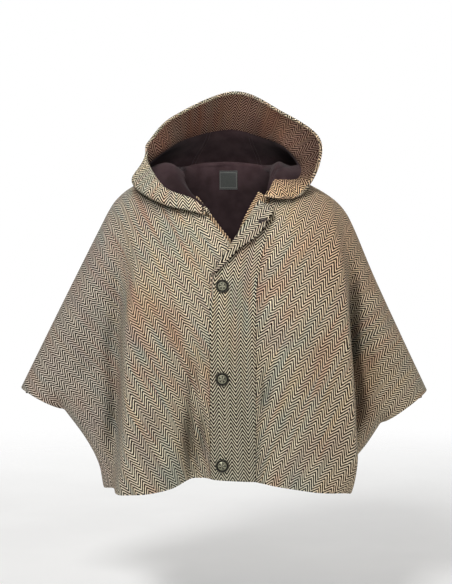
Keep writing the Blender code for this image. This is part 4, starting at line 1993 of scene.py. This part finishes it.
BUTTON_PROFILE = (
    ButtonRow(0.78, 0.0, 0.0),
    ButtonRow(0.95, 0.7, 0.0),
    ButtonRow(1.00, 1.9, 0.15),
    ButtonRow(0.985, 2.9, 0.25),
    ButtonRow(0.93, 3.7, 0.40),
    ButtonRow(0.87, 3.9, 0.35),
    ButtonRow(0.80, 3.4, 0.1),
    ButtonRow(0.745, 2.5, 0.0),
    ButtonRow(0.70, 2.4, 0.0),
    ButtonRow(0.665, 2.9, 0.1),
    ButtonRow(0.64, 3.4, 0.7),
    ButtonRow(0.60, 3.8, 0.9),
    ButtonRow(0.54, 4.2, 0.6),
    ButtonRow(0.46, 4.75, 0.55),
    ButtonRow(0.38, 5.2, 0.55),
    ButtonRow(0.30, 5.55, 0.6),
    ButtonRow(0.22, 5.8, 0.6),
    ButtonRow(0.14, 5.95, 0.65),
    ButtonRow(0.06, 6.05, 0.65),
)


@dataclass
class Buttons:
    """Three metal buttons with a plain rim round a hammered dome."""

    form: CapeForm
    finishes: Finishes
    radius: float = 13.0
    x: float = 1.0
    heights: tuple[float, ...] = (-239.0, -417.0, -583.0)
    off: float = 5.2
    around: int = 72
    top: float = 6.05
    top_rubbed: float = 0.65
    dome: float = 0.57
    petals: int = 5
    hammer: float = 0.38
    dent_share: float = 0.7
    dent_waves: tuple[float, float] = (1.6, 1.4)
    rub: float = 1.2
    lean_step: float = 12.0

    def build(self) -> None:
        """Makes the three buttons."""
        for number, height in enumerate(self.heights, start=1):
            self.button(number, height)

    def relief(self, number: int) -> tuple[Array, Array]:
        """Shapes a button that lies on its back.

        Args:
            number: of the button, because no two are hammered alike

        Returns:
            Its points, and how bright each is rubbed.
        """
        angles = np.arange(self.around) * 2 * math.pi / self.around
        points, rubbed = [], []
        for row in BUTTON_PROFILE:
            r = row.share * self.radius
            x, y = r * np.cos(angles), r * np.sin(angles)
            petals = np.cos(self.petals * angles + number)
            petals = petals * math.sin(math.pi * min(row.share / self.dome, 1.0))
            wave_x, wave_y = self.dent_waves
            waves = self.dent_share * np.sin(wave_x * x + number) * np.sin(wave_y * y + 2 * number)
            hammered = self.hammer * (petals + waves) * (row.share < self.dome)
            points.append(np.stack([x, y, row.rise + hammered], axis=-1))
            rubbed.append(np.clip(row.rubbed + self.rub * hammered, 0.0, 1.0))
        points.append(np.array([[0.0, 0.0, 0.0], [0.0, 0.0, self.top]]))
        rubbed.append(np.array([0.0, self.top_rubbed]))
        return np.concatenate(points), np.concatenate(rubbed)

    def faces(self) -> list[list[int]]:
        """Joins the rings of the profile, and closes them under the button and on its top.

        Returns:
            The points of each face.
        """
        count = self.around
        ring = np.arange(count)
        faces = []
        for k in range(len(BUTTON_PROFILE) - 1):
            a, b = k * count + ring, (k + 1) * count + ring
            faces += np.stack([a, np.roll(a, -1), np.roll(b, -1), b], axis=-1).tolist()
        under = len(BUTTON_PROFILE) * count
        last = under - count + ring
        faces += np.stack([np.full(count, under), np.roll(ring, -1), ring], axis=-1).tolist()
        faces += np.stack([last, np.roll(last, -1), np.full(count, under + 1)], axis=-1).tolist()
        return faces

    def button(self, number: int, height: float) -> None:
        """Makes one button, leaning as the band does under it.

        Args:
            number: of the button, from the top
            height: of its middle
        """
        points, rubbed = self.relief(number)
        heights = np.array([height, height + self.lean_step, height - self.lean_step])
        y, above, below = self.form.cloth_y(Face.FRONT, np.full(3, self.x), heights)
        tilt = math.pi / 2 - math.atan2(above - below, 2 * self.lean_step)
        c, s = math.cos(tilt), math.sin(tilt)
        spin = np.array([[1, 0, 0], [0, c, -s], [0, s, c]])
        placed = points @ spin.T + np.array([self.x, y - self.off, height])
        mesh = make_mesh(f"metal_button_{number}", placed, self.faces())
        store(mesh, PROUD_NAME, rubbed)
        show(f"metal_button_{number}", mesh, [self.finishes.metal], f"button_{number}")


@dataclass
class PaintedShadeBake:
    """Painted shade: how far the cloth is shut in by the cloth around it, in folds, under the hood and
    under the lapel; the tweed is darkened by it.
    """

    cloths: Sequence[Cloth]
    reach: float = 120.0
    lift: float = 2.5
    rays: int = 24
    stride: int = 2

    def build(self) -> None:
        """Works out the painted shade of every sheet and stores it in its mesh."""
        tree = self.tree()
        for cloth in self.cloths:
            out = self.shut_in(tree, cloth.places, cloth.normals)
            back = cloth.places - cloth.normals * cloth.thickness
            cloth.keep_painted_shade(out, self.shut_in(tree, back, -cloth.normals))
            LOG.info("%s: shade up to %.2f", cloth.name, out.max())

    def tree(self) -> BVHTree:
        """Gathers all sheets.

        Returns:
            One search tree.
        """
        points, faces, count = [], [], 0
        for cloth in self.cloths:
            rows, columns = cloth.places.shape[:2]
            points.append(cloth.places.reshape(-1, 3))
            faces += (grid_quads(rows, columns) + count).tolist()
            count += rows * columns
        return BVHTree.FromPolygons(np.concatenate(points).tolist(), faces)

    def ways(self) -> list[Vector]:
        """Spreads fixed directions over a half sphere, closest together about its pole.

        Returns:
            One direction for each ray.
        """
        number = np.arange(self.rays) + 0.5
        radius = np.sqrt(number / self.rays)
        angle = number * math.pi * (3 - math.sqrt(5))
        rows = np.stack([radius * np.cos(angle), radius * np.sin(angle), np.sqrt(1 - radius**2)], axis=-1)
        return [Vector(row) for row in rows]

    def shut_in(self, tree: BVHTree, places: Array, normals: Array) -> Array:
        """Measures how far each place is shut in.

        Args:
            tree: all sheets
            places: rows x columns x 3
            normals: out of the cloth at each place

        Returns:
            rows x columns, from 0 in the open to 1.
        """
        rows, columns = places.shape[:2]
        r = np.unique(np.append(np.arange(0, rows, self.stride), rows - 1))
        c = np.unique(np.append(np.arange(0, columns, self.stride), columns - 1))
        ways = self.ways()
        coarse = np.zeros((len(r), len(c)))
        for i, row in enumerate(r):
            for j, column in enumerate(c):
                normal = Vector(normals[row, column])
                turn = normal.to_track_quat("Z", "Y")
                start = Vector(places[row, column]) + normal * self.lift
                hits = [tree.ray_cast(start, turn @ way, self.reach)[3] for way in ways]
                coarse[i, j] = sum(1 - hit / self.reach for hit in hits if hit is not None) / len(ways)
        down = np.array([np.interp(np.arange(columns), c, line) for line in coarse])
        return np.array([np.interp(np.arange(rows), r, line) for line in down.T]).T


class StitchNodes(NodeTree):
    """Node group that lays one bead of thread for each pitch along lines, flat on the cloth."""

    SWAY = 5.0
    SEED = 11
    INPUTS = {
        "Pitch": "NodeSocketFloat",
        "Stitch Length": "NodeSocketFloat",
        "Stitch Width": "NodeSocketFloat",
        "Turn": "NodeSocketFloat",
        "Sway": "NodeSocketFloat",
        "Seed": "NodeSocketInt",
        "Thread": "NodeSocketMaterial",
    }

    def __init__(self) -> None:
        """Builds the group."""
        super().__init__(bpy.data.node_groups.new("stitch_row", "GeometryNodeTree"))
        sockets = self.tree.interface
        sockets.new_socket("Lines", in_out="INPUT", socket_type="NodeSocketGeometry")
        self.ids = {
            name: sockets.new_socket(name, in_out="INPUT", socket_type=kind).identifier
            for name, kind in self.INPUTS.items()
        }
        sockets.new_socket("Stitches", in_out="OUTPUT", socket_type="NodeSocketGeometry")
        self.wire()

    def wire(self) -> None:
        """Wires the nodes, from the lines to the realised stitches."""
        given = self.tree.nodes.new("NodeGroupInput").outputs
        curve = self.add("GeometryNodeMeshToCurve", {"Mesh": given["Lines"]})
        spaced = self.add(
            "GeometryNodeResampleCurve", {"Curve": curve, "Length": given["Pitch"]}, mode="LENGTH"
        )
        up = self.add("GeometryNodeInputNamedAttribute", {"Name": "up"}, data_type="FLOAT_VECTOR")
        tangent = self.add("GeometryNodeInputTangent", {})
        along = self.add("FunctionNodeAlignRotationToVector", {"Vector": tangent}, axis="X")
        lying = self.add(
            "FunctionNodeAlignRotationToVector", {"Rotation": along, "Vector": up}, axis="Z", pivot_axis="X"
        )
        back = self.add("ShaderNodeMath", {0: given["Sway"], 1: -1.0}, operation="MULTIPLY")
        sway = self.add(
            "FunctionNodeRandomValue",
            {"Min": back, "Max": given["Sway"], "Seed": given["Seed"]},
            data_type="FLOAT",
        )
        angle = self.add("ShaderNodeMath", {0: given["Turn"], 1: sway}, operation="ADD")
        spin = self.add("FunctionNodeAxisAngleToRotation", {"Axis": (0.0, 0.0, 1.0), "Angle": angle})
        turned_bead = self.add(
            "FunctionNodeRotateRotation", {"Rotation": lying, "Rotate By": spin}, rotation_space="LOCAL"
        )
        bead = self.add("GeometryNodeMeshUVSphere", {"Segments": 8, "Rings": 5, "Radius": 0.5})
        wide = given["Stitch Width"]
        size = self.add("ShaderNodeCombineXYZ", {"X": given["Stitch Length"], "Y": wide, "Z": wide})
        laid = self.add(
            "GeometryNodeInstanceOnPoints",
            {"Points": spaced, "Instance": bead, "Rotation": turned_bead, "Scale": size},
        )
        solid = self.add("GeometryNodeRealizeInstances", {"Geometry": laid})
        smooth = self.add("GeometryNodeSetShadeSmooth", {"Geometry": solid})
        sewn = self.add("GeometryNodeSetMaterial", {"Geometry": smooth, "Material": given["Thread"]})
        self.node("NodeGroupOutput", {"Stitches": sewn})

    def lay(self, seam: Seam, thread: Material) -> bpy.types.Mesh:
        """Lays a seam's stitches.

        Args:
            seam: the lines and the stitch
            thread: its finish

        Returns:
            A plain mesh of all stitches.
        """
        points = np.concatenate([line for line, _ in seam.lines])
        ups = np.concatenate([up for _, up in seam.lines])
        edges, start = [], 0
        for line, _ in seam.lines:
            edges += [(start + k, start + k + 1) for k in range(len(line) - 1)]
            start += len(line)
        mesh = bpy.data.meshes.new(seam.name)
        mesh.from_pydata((points * MM).tolist(), edges, [])
        mesh.attributes.new("up", "FLOAT_VECTOR", "POINT").data.foreach_set("vector", ups.ravel())
        guide = bpy.data.objects.new(seam.name, mesh)
        bpy.context.scene.collection.objects.link(guide)
        nodes = guide.modifiers.new("stitches", "NODES")
        nodes.node_group = self.tree
        values = {
            "Pitch": seam.stitch.pitch * MM,
            "Stitch Length": seam.stitch.length * MM,
            "Stitch Width": seam.stitch.width * MM,
            "Turn": math.radians(seam.stitch.turn),
            "Sway": math.radians(self.SWAY),
            "Seed": self.SEED,
            "Thread": thread,
        }
        for name, value in values.items():
            nodes[self.ids[name]] = value
        depsgraph = bpy.context.evaluated_depsgraph_get()
        sewn = bpy.data.meshes.new_from_object(guide.evaluated_get(depsgraph), depsgraph=depsgraph)
        guide.modifiers.remove(nodes)
        bpy.data.objects.remove(guide)
        bpy.data.meshes.remove(mesh)
        return sewn


EDGE_SEAMS = (
    EdgeSeam(
        "hood_rim_stitches",
        [(f"hood_{name}_cloth", Edge.LAST_ROW) for name in ("right", "centre", "left")],
        inset=1.0, lift=0.2, stitch=Stitch(4.4, 3.2, 0.8), thread=Thread.TAN, slot=Slot.TWEED,
    ),
    EdgeSeam(
        "lining_stitches",
        [
            ("hood_right_lining", Edge.LAST_COLUMN),
            ("hood_centre_lining", Edge.FIRST_COLUMN),
            ("hood_centre_lining", Edge.LAST_COLUMN),
            ("hood_left_lining", Edge.FIRST_COLUMN),
        ],
        inset=3.2, lift=0.2, stitch=Stitch(3.4, 2.6, 0.8), thread=Thread.DARK, slot=Slot.FLEECE,
    ),
    EdgeSeam(
        "label_stitches",
        [("neck_label", edge) for edge in Edge],
        inset=0.9, lift=0.1, stitch=Stitch(2.4, 1.7, 0.5), thread=Thread.DARK, slot=Slot.LABEL,
    ),
    EdgeSeam(
        "neck_edge_stitches",
        [(f"neck_strip_{name}", Edge.LAST_COLUMN) for name in ("right", "left")],
        inset=1.3, lift=0.2, stitch=Stitch(3.4, 2.5, 0.7), thread=Thread.TAN, slot=Slot.TWEED,
    ),
)


@dataclass
class Sewing:
    """All rows of stitches that show, along edges of sheets and round the buttonhole, and the painted
    shadow in the buttonhole.
    """

    finishes: Finishes
    cloths: dict[str, Cloth]
    band: ButtonBand
    slit: tuple[tuple[float, float], tuple[float, float]] = ((0.88, 0.938), (0.98, 0.965))
    slit_near: float = 0.04
    slit_half: float = 2.6
    slit_inset: float = 1.2
    slit_short: float = 1.6
    eyelet: float = 3.8
    eyelet_turn: float = 0.8 * math.pi
    eyelet_slit: float = 4.4
    eyelet_gap: float = 0.8
    proud: float = 0.8
    loop_stitch: Stitch = Stitch(0.8, 2.0, 0.75, 90.0)
    hole_shadow_stitch: Stitch = Stitch(1.0, 2.8, 3.0)

    def build(self) -> None:
        """Sews every row."""
        nodes = StitchNodes()
        edges = [self.along_edges(row) for row in EDGE_SEAMS]
        for seam in (*edges, self.buttonhole(), self.buttonhole_shadow()):
            thread = getattr(self.finishes, seam.thread.value)
            show(seam.name, nodes.lay(seam, thread))

    def along_edges(self, row: EdgeSeam) -> Seam:
        """Finds the lines of a seam along its sheets."""
        lines = [self.cloths[name].line(edge, row.inset, row.lift) for name, edge in row.edges]
        return Seam(row.name, lines, row.stitch, row.thread, row.slot)

    def slit_frame(self) -> tuple[Array, Array, Array, Array]:
        """Finds the buttonhole's line on the turned lapel.

        Returns:
            Its two ends, the direction across it and the direction off the cloth.
        """
        (c0, t0), (c1, t1) = self.slit
        start = self.band.shown(c0, t0)
        end = self.band.shown(c1, t1)
        near = self.band.shown(c0 - self.slit_near, t1)
        along = unit(end - start)
        off = unit(np.cross(along, near - start))
        off = off if off[1] < 0 else -off
        return start, end, np.cross(off, along), off

    def buttonhole(self) -> Seam:
        """Works close stitches round the keyhole.

        Returns:
            The seam.
        """
        start, end, across, off = self.slit_frame()
        length = np.linalg.norm(end - start)
        along = unit(end - start)
        angle = np.linspace(-self.eyelet_turn, self.eyelet_turn, 30)
        eye_x = self.eyelet * (1 - np.cos(angle))
        eye_y = -self.eyelet * np.sin(angle)
        straight = np.linspace(length, eye_x[0] + self.eyelet_gap, 12)
        loop_x = np.concatenate([straight, eye_x, straight[::-1]])
        side = np.full(len(straight), self.slit_half)
        loop_y = np.concatenate([side, eye_y, -side])
        points = start + along * loop_x[:, None] + across * loop_y[:, None] + off * self.proud
        lines = [(points, np.tile(off, (len(points), 1)))]
        return Seam("buttonhole_stitches", lines, self.loop_stitch, Thread.DARK, Slot.TWEED)

    def buttonhole_shadow(self) -> Seam:
        """Lays near-black beads in the keyhole as the painted shadow of its opening.

        Returns:
            The seam.
        """
        start, end, across, off = self.slit_frame()
        along = unit(end - start)
        share = np.linspace(0.0, 1.0, 20)[:, None]
        start, end = start + off * self.proud, end + off * self.proud
        line = start + along * self.slit_inset + (end - start - along * self.slit_short) * share
        eye = start + along * self.eyelet + across * self.eyelet_slit * (share - 0.5)
        ups = np.tile(off, (len(share), 1))
        return Seam("buttonhole_shadow", [(line, ups), (eye, ups)], self.hole_shadow_stitch, Thread.HOLE, Slot.TWEED)


CAPE_MIDDLE = (0.0, 0.0, -0.25)
LIGHTS = (
    Light("key_light", (-1.05, -2.4, 1.9), CAPE_MIDDLE, 0.9, 68.0),
    Light("front_light", (0.5, -3.0, 0.0), CAPE_MIDDLE, 1.4, 18.0),
    Light("hood_light", (0.1, -2.2, 0.3), (0.01, 0.1, 0.05), 0.4, 0.36, 22.0),
    Light("right_light", (2.6, 0.6, 0.8), CAPE_MIDDLE, 1.8, 20.0),
    Light("back_light", (-0.8, 2.8, 1.6), CAPE_MIDDLE, 2.0, 50.0),
)


@dataclass
class Studio:
    """Camera at the photograph's place, pale floor and soft light."""

    distance: float = 2.3
    scale: float = 2.05 * MM
    frame_height: int = 584
    sensor: float = 36.0
    axis_x: float = 0.0082
    axis_z: float = -0.25
    floor: float = -0.90
    floor_radius: float = 3.4
    floor_middle: float = 0.05
    floor_around: int = 96
    floor_rings: int = 20
    floor_colour: Colour = (0.95, 0.95, 0.945, 1.0)
    floor_grain: Colour = (0.92, 0.92, 0.915, 1.0)
    sky_colour: Colour = (1.0, 0.99, 0.975, 1.0)
    sky_strength: float = 0.27

    def build(self) -> None:
        """Sets up the whole studio."""
        self.camera()
        self.floor_disc()
        for light in LIGHTS:
            self.panel(light)
        self.sky()

    def camera(self) -> None:
        """Places the camera level with the middle of the picture."""
        data = bpy.data.cameras.new("camera")
        data.sensor_width = self.sensor
        data.lens = self.sensor * self.distance / (self.frame_height * self.scale)
        made = bpy.data.objects.new("camera", data)
        made.location = (self.axis_x, -self.distance, self.axis_z)
        made.rotation_euler = (math.pi / 2, 0.0, 0.0)
        bpy.context.scene.collection.objects.link(made)
        bpy.context.scene.camera = made

    def floor_disc(self) -> None:
        """Round pale floor that fades into the white around it."""
        count = self.floor_around
        around = np.arange(count) * 2 * math.pi / count
        rings = np.linspace(self.floor_middle, 1.0, self.floor_rings) * self.floor_radius
        points = [(r * math.cos(a), r * math.sin(a), self.floor) for r in rings for a in around]
        faces = [tuple(range(count))]
        for k in range(len(rings) - 1):
            inner, outer = k * count + np.arange(count), (k + 1) * count + np.arange(count)
            faces += np.stack([inner, outer, np.roll(outer, -1), np.roll(inner, -1)], axis=-1).tolist()
        made = bpy.data.objects.new("floor", make_mesh("floor", np.array(points) / MM, faces))
        white = FloorFinish("pale_floor", self.floor_colour, self.floor_grain, self.floor_radius)
        made.data.materials.append(white.make())
        bpy.context.scene.collection.objects.link(made)

    @staticmethod
    def panel(light: Light) -> None:
        """Hangs a square soft light.

        Args:
            light: its row of the table
        """
        data = bpy.data.lights.new(light.name, "AREA")
        data.size = light.size
        data.energy = light.power
        data.spread = math.radians(light.spread)
        made = bpy.data.objects.new(light.name, data)
        made.location = light.place
        made.rotation_euler = (Vector(light.aim) - Vector(light.place)).to_track_quat("-Z", "Y").to_euler()
        bpy.context.scene.collection.objects.link(made)

    def sky(self) -> None:
        """Lights the cape evenly from all round, and shows plain white behind it."""
        world = bpy.data.worlds.new("studio")
        world.use_nodes = True
        sheet = NodeTree(world.node_tree)
        nodes = world.node_tree.nodes
        shade = nodes["Background"]
        shade.inputs["Color"].default_value = self.sky_colour
        shade.inputs["Strength"].default_value = self.sky_strength
        white = sheet.add("ShaderNodeBackground", {"Color": (1.0, 1.0, 1.0, 1.0)})
        seen = sheet.node("ShaderNodeLightPath", {}).outputs["Is Camera Ray"]
        both = sheet.add("ShaderNodeMixShader", {0: seen, 1: shade.outputs[0], 2: white})
        sheet.feed(nodes["World Output"].inputs["Surface"], both)
        bpy.context.scene.world = world
        bpy.context.scene.view_settings.view_transform = "Standard"


def make_finishes() -> Finishes:
    """Makes all materials of the cape.

    Returns:
        The materials.
    """
    tweed = TweedFinish(
        name="herringbone_tweed",
        warp=(0.87, 0.77, 0.57, 1.0),
        weft=(0.0075, 0.0050, 0.0030, 1.0),
        rust=(0.66, 0.31, 0.18, 1.0),
        teal=(0.34, 0.49, 0.46, 1.0),
        gold=(0.78, 0.58, 0.32, 1.0),
        plum=(0.45, 0.32, 0.29, 1.0),
        # Right sleeve and left side: partly the tweed's own tone, partly painted shade.
        right_sleeve_tint_and_shade=(0.66, 0.58, 0.53, 1.0),
        left_tint_and_shade=(0.72, 0.51, 0.33, 1.0),
    )
    # The facing is the tweed with painted shade: darker and redder where the hood's crown is in shade,
    # paler at its lit lower ends, and darker again high on the left side.
    facing = TweedFinish(
        name="facing_tweed",
        warp=(0.36, 0.215, 0.155, 1.0),
        weft=(0.018, 0.007, 0.005, 1.0),
        rust=(0.30, 0.105, 0.055, 1.0),
        teal=(0.26, 0.22, 0.17, 1.0),
        gold=(0.34, 0.21, 0.12, 1.0),
        plum=(0.19, 0.095, 0.08, 1.0),
        low_light_and_shade_warp=(0.84, 0.60, 0.36, 1.0),
        left_tint_and_shade=(0.12, 0.085, 0.065, 1.0),
    )
    label = LabelFinish(
        name="bare_label",
        ground=(0.022, 0.025, 0.022, 1.0),
        thread=(0.16, 0.165, 0.15, 1.0),
        width=Body.label_size[0] * MM,
        length=Body.label_size[1] * MM,
    )
    fleece = FleeceFinish("dark_fleece", (0.034, 0.019, 0.021, 1.0), (0.070, 0.043, 0.046, 1.0))
    metal = MetalFinish("antique_metal", (0.010, 0.009, 0.006, 1.0), (0.32, 0.31, 0.22, 1.0))
    thread = ThreadFinish("tan_thread", (0.36, 0.28, 0.17, 1.0), (0.16, 0.11, 0.06, 1.0))
    dark = ThreadFinish("dark_thread", (0.115, 0.085, 0.088, 1.0), (0.040, 0.028, 0.028, 1.0))
    # Near-black beads that stand for the painted shadow in the buttonhole's opening.
    hole = ThreadFinish("hole_thread", (0.024, 0.016, 0.011, 1.0), (0.008, 0.005, 0.004, 1.0))
    # The band's tweed, with painted shade that darkens it towards the hem.
    band = replace(
        tweed,
        name="band_tweed",
        pale_share=0.36,
        streaks=0.36,
        low_light_and_shade_warp=(0.66, 0.61, 0.46, 1.0),
        low_height=-480.0 * MM,
        low_fade=260.0 * MM,
    )
    kinds = (tweed, band, facing, fleece, label, metal, thread, dark, hole)
    return Finishes(*[kind.make() for kind in kinds])


def main() -> None:
    """Builds the cape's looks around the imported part."""
    logging.basicConfig(level=logging.INFO, format="%(message)s")
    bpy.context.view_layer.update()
    finishes = make_finishes()
    form = CapeForm()
    band = ButtonBand(form, finishes)
    sewn = (Body(form, finishes), Hood(form, finishes), band, EdgeStrips(form, finishes))
    cloths: dict[str, Cloth] = {}
    for assembly in sewn:
        assembly.build()
        cloths |= assembly.cloths
    PaintedShadeBake(list(cloths.values())).build()
    Buttons(form, finishes).build()
    Sewing(finishes, cloths, band).build()
    Studio().build()


if __name__ == "__main__":
    main()
